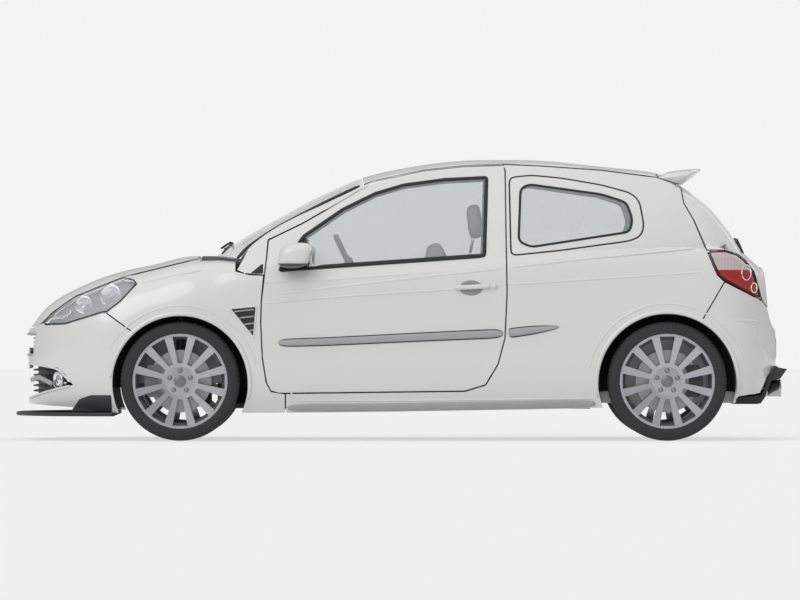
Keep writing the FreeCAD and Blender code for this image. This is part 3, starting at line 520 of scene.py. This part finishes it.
def bead(path, width, proud, closed=True, square=2.0, shape=None, count=14):
    """Closed tube along a side-view path laid on the car: from each point of the path it
    goes half the width times a power of the cosine across the skin, and stands off it by
    the sine."""
    centre, out = skin_frame(path[:, 0], path[:, 1])
    along = np.gradient(centre, axis=0)
    if closed:
        along = np.roll(centre, -1, axis=0) - np.roll(centre, 1, axis=0)
    across = np.cross(out, along)
    across /= np.linalg.norm(across, axis=1)[:, None]
    turn = np.linspace(0, 2 * np.pi, count, endpoint=False)
    c, s = np.cos(turn), np.sin(turn)
    c, s = (np.sign(v) * np.abs(v) ** (2 / square) for v in (c, s))
    full = np.ones(len(path))
    if not closed:
        u = np.linspace(-1, 1, len(path))
        full = np.sqrt(np.maximum(1 - np.abs(u) ** 24, 0))
    if shape is not None:
        full = full * shape(np.linspace(0, 1, len(path)))
    full = full[:, None, None]
    return (centre[:, None] + across[:, None] * (full * (width / 2 * c)[:, None])
            + out[:, None] * (full * (proud * s)[:, None])) / 1000


def plaque(outline, front, back, rings=9, middle_at=None):
    """Closed slab over an outline that its middle can see whole: rings shrink from the
    outline to the middle, the front stands front(r) off the form and the back lies back
    below it."""
    heart = outline.mean(axis=0) if middle_at is None else np.array(middle_at, dtype=float)
    r = np.concatenate([np.linspace(0, 1, rings), np.linspace(1, 0, rings)])
    flat = heart + r[:, None, None] * (outline[None] - heart)
    height = np.concatenate([front(r[:rings]), np.full(rings, -float(back))])
    point, out = skin_frame(flat[..., 0], flat[..., 1])
    return (point + out * height[:, None, None]) / 1000


def closed_mesh(name, points, wrap_u=False):
    """Mesh of a closed form, with its seams and poles welded and its faces turned out."""
    mesh = grid_mesh(name, points, wrap_u, wrap_v=True)
    work = bmesh.new()
    work.from_mesh(mesh)
    bmesh.ops.remove_doubles(work, verts=work.verts, dist=2e-6)
    bmesh.ops.dissolve_degenerate(work, edges=work.edges, dist=1e-6)
    bmesh.ops.holes_fill(work, edges=work.edges, sides=0)
    bmesh.ops.recalc_face_normals(work, faces=work.faces)
    work.to_mesh(mesh)
    work.free()
    mesh.polygons.foreach_set("use_smooth", np.ones(len(mesh.polygons), dtype=bool))
    return mesh


def add_form(name, points, finish, body, wrap_u=False):
    """Put a closed form in the scene as one piece."""
    return add_piece(name, closed_mesh(name, points, wrap_u), finish.material, body)


def add_pair(name, points, finish, body, wrap_u=False, swap=None):
    """A left piece and its mirror image on the right."""
    made = []
    for hand, word in ((1, "left"), (-1, "right")):
        made.append(add_form(name + "_" + word, points * np.array([1, hand, 1]), finish,
                             body.replace("SIDE", word), wrap_u))
    if swap:
        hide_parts(*swap)
    return made


seal = Finish("seal_rubber", (0.018, 0.018, 0.019), 0.6)
seal.bump(seal.grain(600.0), 0.3, 0.0004)
DOOR_PANE = [(-640, 905), (-512, 1087), (-304, 1230), (-131, 1315), (20, 1360), (237, 1389),
             (460, 1400), (447, 984), (-456, 918)]
QUARTER_PANE = [(640, 1340), (683, 1364), (1072, 1310), (1203, 1267), (1235, 1175),
                (1219, 1110), (694, 1029), (629, 1060)]
add_pair("door_pane_seal", bead(eased(DOOR_PANE, 14), 20, 6), seal, "door_SIDE",
         wrap_u=True)
add_pair("quarter_pane_seal", bead(eased(QUARTER_PANE, 44), 13, 5), seal, "body",
         wrap_u=True)
add_pair("quarter_rebate", bead(eased([(580, 1400), (700, 1412), (856, 1397), (1072, 1360),
                                       (1225, 1318), (1272, 1276), (1296, 1143), (1280, 1088),
                                       (1220, 1062), (856, 1012), (588, 984)], 50), 9, 2),
         seal, "body", wrap_u=True)
tip_line = eased([(-798, 888), (-740, 936), (-726, 944), (-726, 886)], 8)
add_pair("front_pane_tip", plaque(tip_line, lambda r: 2 - 3 * r ** 8, 5), seal, "body")
belt_strip = eased([(-446, 921), (0, 952), (455, 984)], 30, closed=False)
add_pair("door_belt_strip", bead(belt_strip, 24, 9, closed=False, square=3), seal,
         "door_SIDE")
corner_plate = plaque(eased([(-636, 906), (-512, 1084), (-507, 1084), (-507, 914)], 10),
                      lambda r: 3 - 5 * r ** 8, 12)
add_pair("door_corner_plate", corner_plate, seal, "door_SIDE")
pillar_bar = eased([(-506, 1080), (-503, 920)], 10, closed=False)
add_pair("door_pane_divider", bead(pillar_bar, 16, 7, closed=False, square=3), seal,
         "door_SIDE")

# Screen seal: the black band down each side of the windscreen.
screen_band = eased([(-868, 966), (-800, 1039), (-720, 1099), (-640, 1150), (-520, 1211),
                     (-336, 1300), (-212, 1358)], 30, closed=False)
add_pair("screen_band", bead(screen_band, 20, 2.5, closed=False), seal, "body")

# Door handles: a bowl pressed in the door skin with a painted pull bar across it, and a
# round lock cap at its rear end. The bowl's patchy mid grey is painted shade in the recess.
# painted shade: the handle bowl's grey, made patchy by noise, stands in for shade in the recess
bowl = Finish("handle_bowl_painted_shade", (0.30, 0.30, 0.30), 0.5)
bowl.vary((0.22, 0.22, 0.22), (0.42, 0.42, 0.42), bowl.grain(30.0))
angle = np.linspace(0, 2 * np.pi, 60, endpoint=False)
bowl_line = np.stack([376 + 62 * np.cos(angle), 812 + 40 * np.sin(angle)], axis=1)
add_pair("door_handle_bowl", plaque(bowl_line, lambda r: 1.2 + 0.6 * r ** 6, 10), bowl,
         "door_SIDE")
pull_line = eased([(285, 812), (390, 817), (478, 822)], 20, closed=False)
add_pair("door_handle", bead(pull_line, 27, 26, closed=False, square=2.6), white_paint,
         "door_SIDE")
lock_line = np.stack([498 + 13 * np.cos(angle), 823 + 13 * np.sin(angle)], axis=1)
add_pair("door_lock_cap", plaque(lock_line, lambda r: 20 - 6 * r ** 4, 10), white_paint,
         "door_SIDE")

# Rubbing strips: grey moulded plastic, clipped along the door and the rear side, tapering
# to a point behind, with a black foot all round.
strip_grey = Finish("strip_plastic", (0.42, 0.42, 0.43), 0.45)
strip_grey.bump(strip_grey.grain(800.0), 0.2, 0.0003)
door_strip = eased([(-648, 520), (-400, 527), (100, 551), (548, 571)], 20, closed=False)
rear_strip = eased([(574, 572), (720, 590), (845, 605)], 20, closed=False)
for name, line, body, form in (
        ("door_rubbing_strip", door_strip, "door_SIDE", lambda t: 0.86 + 0.14 * t),
        ("rear_rubbing_strip", rear_strip, "body", lambda t: 1 - 0.78 * t ** 2.6)):
    add_pair(name + "_foot", bead(line, 52, 5, closed=False, square=4, shape=form), seal,
             body)
    add_pair(name, bead(line, 42, 14, closed=False, square=3.2, shape=form), strip_grey,
             body)

# Creases pressed in the side, the flared lips of the wheel arches and the sill skirt.
CREASES = [("wing_crease", [(-1390, 838), (-1200, 880), (-1060, 905)], "body", 9),
           ("door_waist_crease", [(-715, 731), (-300, 768), (267, 804), (550, 827)],
            "door_SIDE", 11),
           ("side_waist_crease", [(576, 830), (1100, 864), (1610, 897)], "body", 11),
           ("door_soft_crease", [(-640, 783), (0, 858), (545, 917)], "door_SIDE", 14),
           ("side_soft_crease", [(578, 921), (1000, 970), (1560, 1024)], "body", 14),
           ("sill_crease", [(-598, 300), (-560, 214), (0, 214), (1040, 226)], "body", 10),
           ("rear_bumper_crease", [(1770, 640), (1901, 640), (1917, 500), (1938, 428)],
            "body", 10)]
for name, line, body, width in CREASES:
    add_pair(name, bead(eased(line, 40, closed=False), width, 3.2, closed=False),
             white_paint, body)


def arc(x, z, radius, first, last, count=90):
    """Arc of a circle in side view, angles in degrees from the rear and upward."""
    turn = np.radians(np.linspace(first, last, count))
    return np.stack([x + radius * np.cos(turn), z + radius * np.sin(turn)], axis=1)


ARCHES = [("front", -1168, 304, 360, -14, 176), ("rear", 1417, 309, 366, -14, 192)]
for name, x, z, radius, first, last in ARCHES:
    add_pair(name + "_arch_lip", bead(arc(x, z, radius + 11, first, last), 24, 9,
                                      closed=False), white_paint, "body")
    add_pair(name + "_arch_crease", bead(arc(x, z, radius + 54, first + 26, last - 22), 9, 3,
                                         closed=False), white_paint, "body")
skirt = eased([(-600, 176), (0, 181), (1040, 199)], 20, closed=False)
add_pair("sill_skirt", bead(skirt, 42, 10, closed=False, square=4), strip_grey, "body")

# Arch liners: black moulded felt bent over each wheel, from the opening to the inner wall.
liner_felt = Finish("liner_felt", (0.022, 0.022, 0.023), 0.95)
liner_felt.bump(liner_felt.grain(260.0), 0.6, 0.001)


def liner(x, z, radius, wall_y, rim_y, first, last):
    """Half drum about the wheel's axle, 2 mm thick: out along the inside at one radius,
    back along the outside at the other, with the wall drawn in at its inner end."""
    turn = np.radians(np.linspace(first, last, 80))[:, None]
    r = np.array([radius, radius, radius - 12, radius - 70, radius - 70, radius - 10,
                  radius + 2, radius + 2])[None, :]
    y = np.array([rim_y, wall_y + 16, wall_y + 2, wall_y + 2, wall_y, wall_y, wall_y + 14,
                  rim_y])[None, :]
    return np.stack([x + r * np.cos(turn), -(y + 0 * r * turn), z + r * np.sin(turn)],
                    axis=-1) / 1000


add_pair("front_arch_liner", liner(-1168, 303.5, 356.5, 478, 838, -4, 184), liner_felt,
         "body")
add_pair("rear_arch_liner", liner(1417, 308.5, 361.5, 632, 838, -8, 188), liner_felt,
         "body")

# Wing vents: a black three-cornered outlet behind each front wheel with four fins.
vent_black = Finish("vent_black", (0.02, 0.02, 0.021), 0.5)
vent_black.bump(vent_black.grain(300.0), 0.5, 0.0006)
vent_line = eased([(-905, 703), (-762, 716), (-776, 545)], 16)
add_pair("wing_vent", plaque(vent_line, lambda r: 1.5 + 0 * r, 8), vent_black, "body")
add_pair("wing_vent_frame", bead(vent_line, 11, 6), white_paint, "body",
         wrap_u=True)
for k in range(4):
    fin = eased([(-884 + 27 * k, 686 - 34 * k), (-772, 698 - 36 * k)], 8, closed=False)
    add_pair("wing_vent_fin_%d" % k, bead(fin, 8, 7, closed=False, square=3), strip_grey,
             "body")

# Headlights: a clear moulded lens over a dark bowl with two bright reflectors, each with
# its projector ball, and a slim side lamp.
lens = Finish("lamp_lens", (0.90, 0.92, 0.94), 0.04, alpha=0.20)
lens.set("Roughness", lens.grain(4.0) * 0.03 + 0.02)
bowl_grey = Finish("lamp_bowl", (0.34, 0.35, 0.37), 0.35, metallic=0.3)
bowl_grey.vary((0.24, 0.25, 0.26), (0.46, 0.47, 0.49), bowl_grey.grain(22.0))
bright = Finish("reflector_chrome", (0.80, 0.81, 0.83), 0.10, metallic=1.0)
bright.set("Roughness", bright.grain(90.0) * 0.08 + 0.06)
LAMP_LINE = [(-1903, 628), (-1890, 620), (-1779, 625), (-1580, 686), (-1559, 687),
             (-1487, 742), (-1399, 839), (-1418, 853), (-1475, 868), (-1600, 818),
             (-1729, 767), (-1800, 720), (-1857, 678)]
lamp_edge = eased(LAMP_LINE, 8)
bowl_edge = lamp_edge + np.stack([0 * lamp_edge[:, 0], np.where(
    lamp_edge[:, 1] > 0.62 * lamp_edge[:, 0] + 1755, 7.0, 0.0)], axis=1)
bowls = plaque(bowl_edge, lambda r: -30 + 3 * r ** 6, 44, middle_at=(-1640, 738))
add_pair("headlight_bowl", bowls, bowl_grey, "body", swap=["headlights"])
add_pair("headlight_lens", plaque(lamp_edge, lambda r: 0.5 - 1.5 * r ** 10, 4,
                                  middle_at=(-1640, 738)), lens, "body")
add_pair("headlight_seal", bead(lamp_edge, 6, 2.0), seal, "body",
         wrap_u=True)


def turned(profile, centre, axis, count=48):
    """Profile of (radius, distance) pairs turned about an axis through the centre."""
    out = np.array(axis, dtype=float)
    out /= np.linalg.norm(out)
    side = np.cross(out, (0.0, 0.0, 1.0) if abs(out[2]) < 0.9 else (1.0, 0.0, 0.0))
    side /= np.linalg.norm(side)
    up = np.cross(side, out)
    turn = np.linspace(0, 2 * np.pi, count, endpoint=False)[None, :, None]
    r, d = (np.array(profile, dtype=float)[:, k, None, None] for k in (0, 1))
    return (np.array(centre) + r * (np.cos(turn) * side + np.sin(turn) * up) + d * out) / 1000


for name, x, z, radius in (("outer", -1535, 770, 56), ("inner", -1680, 722, 44)):
    spot = np.array([x]), np.array([z])
    depth = float(skin_y(*spot)[0])
    cup = [(0, -16), (radius * .5, -13), (radius * .8, -4), (radius, 8), (radius + 4, 8),
           (radius + 4, 4), (radius * .8, -9), (radius * .4, -19), (0, -21)]
    ball = [(0, 6), (radius * .28, 4), (radius * .46, -4), (radius * .5, -12), (0, -13)]
    at = (x, -depth + 26, z)
    add_pair("headlight_%s_reflector" % name, turned(cup, at, (-0.35, -1, 0.1)), bright,
             "body")
    add_pair("headlight_%s_ball" % name, turned(ball, at, (-0.35, -1, 0.1)), lens, "body")
side_lamp = eased([(-1860, 652), (-1790, 660), (-1745, 690)], 16, closed=False)
side_lamp_points = bead(side_lamp, 24, 7, closed=False)
side_lamp_points[..., 1] += 0.018
add_pair("headlight_side_lamp", side_lamp_points, bright, "body")

# Tail lamps: red moulding with a clear reversing band near the top, and two bright rings
# on it, in a black seal.
red = Finish("tail_lens", (0.40, 0.018, 0.018), 0.12)
ribs = red.node("ShaderNodeTexWave", {"bands_direction": "X"}, out=1, Vector=red.place(),
                Scale=40.0)
red.vary((0.42, 0.02, 0.02), (0.66, 0.60, 0.60), (red.axis(2) > 0.908) * (ribs * 0.3 + 0.7))
red.bump(red.node("ShaderNodeTexWave", {"bands_direction": "Z"}, out=1, Vector=red.place(),
                  Scale=60.0), 0.25, 0.001)
TAIL_LINE = [(1640, 1004), (1722, 1006), (1786, 988), (1830, 953), (1876, 892), (1914, 760),
             (1832, 802), (1728, 856), (1692, 886), (1672, 928)]
tail_edge = eased(TAIL_LINE, 12)
add_pair("tail_lamp", plaque(tail_edge, lambda r: 5 - 6 * r ** 8, 50, middle_at=(1780, 905)),
         red, "body", swap=["tail_lights"])
add_pair("tail_lamp_seal", bead(tail_edge, 8, 3), seal, "body", wrap_u=True)
for name, x, z, radius in (("upper", 1836, 893, 25), ("lower", 1878, 812, 16)):
    round_line = np.stack([x + radius * np.cos(angle), z + 1.6 * radius * np.sin(angle)],
                          axis=1)
    add_pair("tail_lamp_%s_ring" % name, bead(round_line, 7, 8), bright, "body",
             wrap_u=True)

# Front grilles: black slatted plastic set back in the bumper's two openings, curved in
# plan like the nose, with round fog lamps at the lower corners.
grille_black = Finish("grille_black", (0.02, 0.02, 0.021), 0.5)
grille_black.bump(grille_black.grain(200.0), 0.4, 0.0006)


def nose_x(y, back):
    """Station of the nose at half width y, from the superellipse of the plan, set back."""
    u = (1 - np.clip(np.abs(y) / 872, 0, 1) ** 2.6) ** (1 / 2.6)
    return -2004 + 720 * (1 - u) + back


def slat(z, half, back, height, thick, count=90):
    """Bar across the nose at one height: a rounded oblong carried along the plan curve."""
    y = np.linspace(-half, half, count)[:, None]
    turn = np.linspace(0, 2 * np.pi, 12, endpoint=False)[None, :]
    full = np.sqrt(np.maximum(1 - np.abs(y / half) ** 30, 0))
    x = nose_x(y, back) + thick / 2 * np.cos(turn) * full
    return np.stack([x, y + 0 * turn, z + height / 2 * np.sin(turn) * full], axis=-1) / 1000


add_form("grille_backing", slat(400, 610, 62, 330, 6), grille_black, "body")
for name, z in (("upper", 566), ("lower", 454)):
    add_form("grille_frame_" + name, slat(z, 428, 8, 15, 20), strip_grey, "body")
for k, (z, half) in enumerate([(478, 400), (500, 400), (522, 400), (544, 400), (262, 500),
                               (290, 520), (318, 540), (346, 560), (374, 575)]):
    add_form("grille_slat_%d" % k, slat(z, half, 40, 9, 16), grille_black, "body")
fog = [(0, 4), (24, 2), (34, -4), (38, 4), (44, 6), (46, -2), (44, -30), (0, -30)]
add_pair("fog_lamp", turned(fog, (-1822, -650, 322), (-1, -0.62, 0)), bright, "body")
for name, line, width in (("upper", [(-1985, 408), (-1905, 398), (-1822, 382), (-1752, 310)],
                           12), ("lower", [(-1985, 222), (-1890, 258), (-1752, 292)], 14)):
    add_pair("bumper_%s_lip" % name, bead(eased(line, 30, closed=False), width, 6,
                                          closed=False), white_paint, "body")
blade = eased([(-1980, 318), (-1930, 338), (-1850, 300)], 16, closed=False)
add_pair("bumper_blade", bead(blade, 26, 4, closed=False, square=3), strip_grey, "body")

# Front splitter: a black moulded plate under the bumper with a rounded edge, and a fin
# turned up the bumper's side ahead of each wheel.
share = np.linspace(0, 1, 90) ** 1.8
edge_x = -2062.5 + 541.5 * share
edge_y = 12 + 870 * (1 - np.clip(1 - (edge_x + 2063) / 640, 0, 1) ** 2.3) ** (1 / 2.3)
plan = np.concatenate([np.stack([edge_x, -edge_y], axis=1)[::-1],
                       np.stack([edge_x, edge_y], axis=1)])
ring_share = np.array([0, .5, .9, .985, .998, 1, 1, .998, .985, .9, .5, 0])[:, None, None]
ring_z = np.array([150, 150, 150, 150, 148, 144, 136, 132, 130, 130, 130, 130.0])[:, None]
heart = np.array([-1640.0, 0.0])
flat = heart + ring_share * (plan[None] - heart)
splitter_points = np.stack([flat[..., 0], flat[..., 1], ring_z + 0 * flat[..., 0]], axis=-1)
splitter = add_form("splitter_plate", splitter_points / 1000, black_plastic, "body")
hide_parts("front_splitter")
fin_line = eased([(-1752, 152), (-1704, 222), (-1642, 243), (-1534, 243), (-1530, 152)], 10)
add_pair("splitter_fin", plaque(fin_line, lambda r: 7 - 4 * r ** 8, 6), black_plastic,
         "body")

# Number plates: blank white pressed plates, slightly bent, front and rear.
plate_white = Finish("plate_white", (0.72, 0.72, 0.70), 0.4)
plate_white.bump(plate_white.grain(500.0), 0.1, 0.0002)


def plate(x_of, z, half, height):
    """Rounded oblong plate, 3 mm thick, bent along the bumper: out on the front face from
    middle to edge, and back behind."""
    turn = np.linspace(0, 2 * np.pi, 72, endpoint=False)[None, :]
    c, s = np.cos(turn), np.sin(turn)
    r = np.concatenate([np.linspace(0, 1, 8), np.linspace(1, 0, 8)])[:, None]
    y = r * half * np.sign(c) * np.abs(c) ** 0.12
    lift = np.concatenate([np.full(8, -1.5), np.full(8, 1.5)])[:, None]
    return np.stack([x_of(y) + lift, y, z + r * height / 2 * np.sign(s) * np.abs(s) ** 0.12],
                    axis=-1) / 1000


for name, x_of, z in (("front_plate", lambda y: nose_x(y, 9), 436),
                      ("rear_plate", lambda y: 2013 + 0 * y, 492)):
    add_form(name, plate(x_of, z, 260, 110), plate_white, "body")

# Door mirrors: a painted housing over a black foot, with a silvered pane facing back.
mirror_paint = Finish("mirror_paint", (0.80, 0.80, 0.79), 0.3, coat=0.6)
mirror_paint.vary((0.80, 0.80, 0.79), (0.03, 0.03, 0.03), mirror_paint.axis(2) < 0.942)


def rounded(centre, half, flat=0.6, tall=0.6, rows=36, columns=56):
    """Superellipsoid: each half axis times signed powers of the cosines and sines of
    latitude and longitude."""
    def power(v, e):
        return np.sign(v) * np.abs(v) ** e
    up = np.linspace(-np.pi / 2, np.pi / 2, rows)[:, None]
    turn = np.linspace(0, 2 * np.pi, columns, endpoint=False)[None, :]
    ring = power(np.cos(up), tall)
    return np.stack([centre[0] + half[0] * ring * power(np.cos(turn), flat),
                     centre[1] + half[1] * ring * power(np.sin(turn), flat),
                     centre[2] + half[2] * power(np.sin(up), tall) + 0 * turn],
                    axis=-1) / 1000


housing = rounded((-556, -894, 984), (90, 91, 68), 0.62, 0.72)
housing[..., 0] += 0.020 * (housing[..., 2] - 0.984) / 0.068
add_pair("mirror_housing", housing, mirror_paint, "door_SIDE",
         swap=["door_mirror_left", "door_mirror_right"])
add_pair("mirror_foot", rounded((-590, -812, 935), (46, 40, 24), 0.7, 0.7), seal,
         "door_SIDE")
add_pair("mirror_pane", rounded((-472, -898, 986), (5, 72, 52), 0.5, 0.5), bright,
         "door_SIDE")

# Roof spoiler: a moulded wing on the tailgate's top edge, thin at its lip, with rounded
# ends.
wing_line = eased([(1390, 1406), (1440, 1438), (1540, 1450), (1606, 1454), (1614, 1445),
                   (1560, 1400), (1512, 1368), (1480, 1378)], 10, step=5)
across = np.linspace(-558, 558, 81)[:, None]
full = np.sqrt(np.maximum(1 - np.abs(across / 559) ** 14, 0))
heart = np.array([1470.0, 1404.0])
spoiler_points = np.stack([
    heart[0] + (wing_line[None, :, 0] - heart[0]) * (0.55 + 0.45 * full)
    - 30 * (across / 558) ** 4,
    across * (1 + 0 * wing_line[None, :, 0]),
    heart[1] + (wing_line[None, :, 1] - heart[1]) * (0.35 + 0.65 * full)
    - 9 * (across / 558) ** 2],
    axis=-1) / 1000
spoiler = add_form("roof_spoiler", spoiler_points, white_paint, "tailgate")
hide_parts("rear_spoiler")

# Tailgate quarters: painted skins beside the rear pane, from its seal to the body side.
quarter_line = eased([(1518, 1262), (1569, 1173), (1622, 1048), (1636, 1020), (1700, 1024),
                      (1744, 1058), (1692, 1098), (1624, 1187), (1542, 1318)], 8)
add_pair("tailgate_quarter", plaque(quarter_line, lambda r: 0.6 - 1.2 * r ** 8, 9,
                                    middle_at=(1630, 1125)), white_paint, "tailgate")

# Wipers: black sprung arms and blades, two on the scuttle and one on the tailgate.


def rod(path, width, proud, lift):
    """Closed tube along points (x, y) on the glass, lifted off it, oval in section."""
    line = eased(path, 20, closed=False)
    turn = np.linspace(0, 2 * np.pi, 12, endpoint=False)
    along = np.gradient(line, axis=0)
    along /= np.linalg.norm(along, axis=1)[:, None]
    side = np.stack([-along[:, 1], along[:, 0]], axis=1)
    full = np.sqrt(np.maximum(1 - np.abs(np.linspace(-1, 1, len(line))) ** 20, 0))[:, None]
    x = line[:, None, 0] + side[:, None, 0] * width / 2 * np.cos(turn) * full
    y = line[:, None, 1] + side[:, None, 1] * width / 2 * np.cos(turn) * full
    z = skin_z(line[:, None, 0] + 0 * x, y) + lift + proud * np.sin(turn) * full
    return np.stack([x, y, z], axis=-1) / 1000


for name, path, width, lift, proud, body in (
        ("wiper_blade_left", [(-948, -620), (-905, -330), (-900, -60)], 10, 9, 5, "body"),
        ("wiper_arm_left", [(-962, -60), (-925, -180), (-905, -330)], 16, 22, 5, "body"),
        ("wiper_blade_right", [(-948, 30), (-905, 320), (-905, 600)], 10, 9, 5, "body"),
        ("wiper_arm_right", [(-968, 560), (-930, 450), (-905, 320)], 16, 22, 5, "body"),
        ("rear_wiper_arm", [(1846, 0), (1828, -110), (1800, -260)], 18, 20, 6, "tailgate"),
        ("rear_wiper_blade", [(1796, -110), (1793, -260), (1799, -450)], 10, 9, 6,
         "tailgate")):
    add_form(name, rod(path, width, proud, lift), seal, body)

# Exhaust tips: rolled steel lips on the tail pipes, and five fins under the diffuser.
lip = [(40, -70), (40, 0), (43, 3), (47, 0), (47, -8), (44.5, -12), (44.5, -70)]
add_pair("exhaust_tip", turned(lip, (2034, -380, 277), (1, 0, 0)), exhaust_steel, "body",
         wrap_u=True)
for k, y in enumerate((-210, -105, 0, 105, 210)):
    outline = eased([(1760, 214), (1900, 226), (1985, 318), (2040, 350), (1990, 262),
                     (1922, 190), (1780, 190)], 8, step=8)
    half = np.array([-4, -5, -5, 5, 5, 4])
    share = np.array([0.02, 0.96, 1, 1, 0.96, 0.02])
    heart = outline.mean(axis=0)
    flat = heart + share[:, None, None] * (outline[None] - heart)
    fin = np.stack([flat[..., 0], y + half[:, None] + 0 * flat[..., 0], flat[..., 1]], axis=-1)
    add_form("diffuser_fin_%d" % k, fin / 1000, black_plastic, "body")

# Wheel bolts and caps: five steel bolts with domed heads in their wells, a domed cap over
# the hub.
bolt_steel = Finish("bolt_steel", (0.30, 0.30, 0.31), 0.35, metallic=0.9)
bolt_steel.bump(bolt_steel.grain(900.0), 0.2, 0.0002)
cap_grey = Finish("cap_grey", (0.22, 0.22, 0.23), 0.4, metallic=0.5)
BOLT_CIRCLE_R = 57.15
cap_grey.vary((0.18, 0.18, 0.19), (0.27, 0.27, 0.28), cap_grey.grain(50.0))
for corner, hand in CORNERS.items():
    spot = middle("rim_" + corner) * 1000
    out = (0, hand, 0)
    cap = [(0, 86), (14, 85.5), (26, 83.5), (32, 81), (34, 78), (0, 77)]
    add_form("hub_cap_" + corner, turned(cap, spot, out), cap_grey, "wheel_" + corner)
    for k in range(5):
        turn = math.radians(72 * k + 90)
        at = spot + BOLT_CIRCLE_R * np.array([math.cos(turn), 0, math.sin(turn)])
        head = [(0, 84), (7, 83.5), (10.5, 82), (11, 79), (13, 78.4), (13.5, 77.4), (0, 77)]
        add_form("wheel_bolt_%s_%d" % (corner, k), turned(head, at, out, 18), bolt_steel,
                 "wheel_" + corner)

# Front seats: foam cushions, backs and head pads in woven cloth, with raised side rolls
# and sewn channels.  The foam's crown is a superellipsoid, and each seam is a groove.


def upholstered(centre, half, lean, roll, seams, cross):
    """Superellipsoid pad.  Its face rises by `roll` towards both sides, and drops in narrow
    bells at the seams along it and across it; the pad then leans about its middle."""
    pad = rounded((0, 0, 0), half, 0.42, 0.55, 72, 120) * 1000
    x, y, z = pad[..., 0], pad[..., 1], pad[..., 2]
    face = np.clip(z / half[2], 0, 1)
    side = np.clip((np.abs(y) / half[1] - 0.55) / 0.25, 0, 1)
    z = z + face * roll * side * side * (3 - 2 * side)
    for at in seams:
        z = z - face * 9 * np.exp(-((np.abs(y) - at) / 6) ** 2)
    for at in cross:
        z = z - face * 7 * np.exp(-((x - at) / 6) ** 2) * (np.abs(y) < half[1] * 0.58)
    c, s = math.cos(lean), math.sin(lean)
    return np.stack([centre[0] + c * x - s * z, centre[1] + y, centre[2] + s * x + c * z],
                    axis=-1) / 1000


cloth_seams = [("front_cushion", (-28, -370, 416), (234, 244, 68), 0.04, 22, (138,),
                (-110, 0, 110), "front_seats"),
               ("front_back", (262, -370, 770), (292, 240, 58), 1.88, 24, (132,),
                (-150, -50, 50, 150), None),
               ("front_head_pad", (400, -370, 1170), (88, 126, 36), 1.69, 4, (), (0,), None)]
for name, centre, half, lean, roll, seams, cross, swap in cloth_seams:
    points = upholstered(centre, half, lean, roll, seams, cross)
    made = add_pair(name, points, cloth, "body",
                    swap=[swap] if swap else None)
for name, y in (("inner", -320), ("outer", -420)):
    stalk = [(0, -60), (6, -60), (6, 60), (0, 60)]
    add_pair("head_stalk_" + name, turned(stalk, (388, y, 1060), (0.2, 0, 1), 16), bright,
             "body")
frame_base = rounded((-30, -370, 270), (205, 190, 76), 0.3, 0.3)
add_pair("seat_runner", frame_base, cabin_plastic, "body")

# Rear bench: one long cushion and a split back with two head pads.
for name, centre, half, lean, roll, seams, cross in (
        ("bench_cushion", (1075, 0, 500), (205, 575, 64), 0.05, 8, (20, 300), (0,)),
        ("bench_back", (1262, 0, 760), (205, 575, 52), 1.75, 8, (20, 300), (-60, 60))):
    piece = add_form(name, upholstered(centre, half, lean, roll, seams, cross), cloth,
                     "body")
    if name == "bench_cushion":
        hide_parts("rear_bench")
for piece in add_pair("bench_head_pad", upholstered((1300, -300, 990), (60, 120, 34), 1.75, 3,
                                                    (), (0,)), cloth, "body"):
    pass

# Door cards and rear side trim: moulded panels with a cloth inset and an arm rest, held
# to the inner face of each door and side.
card_plastic = Finish("card_plastic", (0.15, 0.15, 0.155), 0.65)
card_plastic.bump(card_plastic.grain(380.0), 0.5, 0.0006)
DOOR_CARD = [(-690, 740), (-664, 316), (-620, 290), (330, 300), (430, 340), (490, 440),
             (512, 560), (518, 885), (-430, 860), (-640, 830)]
CLOTH_INSET = [(-420, 600), (-400, 780), (380, 820), (430, 700), (380, 600)]
REAR_CARD = [(640, 440), (640, 975), (900, 1000), (1180, 1040), (1290, 980), (1250, 760),
             (1010, 620), (940, 440)]
add_pair("door_card", plaque(eased(DOOR_CARD, 30), lambda r: -96 + 0 * r, 106),
         card_plastic, "door_SIDE")
add_pair("door_cloth_inset", plaque(eased(CLOTH_INSET, 50), lambda r: -100 + 0 * r, 110),
         cloth, "door_SIDE")
add_pair("door_arm_rest", rounded((60, -738, 585), (250, 30, 34), 0.6, 0.6), card_plastic,
         "door_SIDE")
add_pair("rear_side_trim", plaque(eased(REAR_CARD, 40), lambda r: -88 + 0 * r, 99),
         card_plastic, "body")

# Dashboard details and steering wheel: a hooded dial binnacle, a centre pad with a soft
# cover on the wheel, and a gear lever on the tunnel.
soft_black = Finish("soft_black", (0.07, 0.07, 0.072), 0.7)
soft_black.bump(soft_black.grain(520.0), 0.5, 0.0006)
add_form("dial_hood", rounded((-560, -360, 915), (70, 170, 42), 0.5, 0.7), soft_black,
         "body")
pad_points = rounded((0, 0, 8), (72, 62, 20), 0.6, 0.6) * 1000
tilt_axis = np.array([0.903, 0.0, 0.4296])
tilt_side = np.array([0.0, 1.0, 0.0])
tilt_up = np.cross(tilt_axis, tilt_side)
pad_points = (np.array([-264, -360, 920]) + pad_points[..., 0:1] * tilt_side
              + pad_points[..., 1:2] * tilt_up + pad_points[..., 2:3] * tilt_axis) / 1000
add_form("wheel_pad", pad_points, soft_black, "steering_wheel")
lever = [(0, -150), (5, -150), (5, 0), (16, 10), (20, 30), (17, 50), (8, 60), (0, 61)]
add_form("gear_lever", turned(lever, (-300, 0, 430), (0.15, 0, 1)), soft_black, "body")
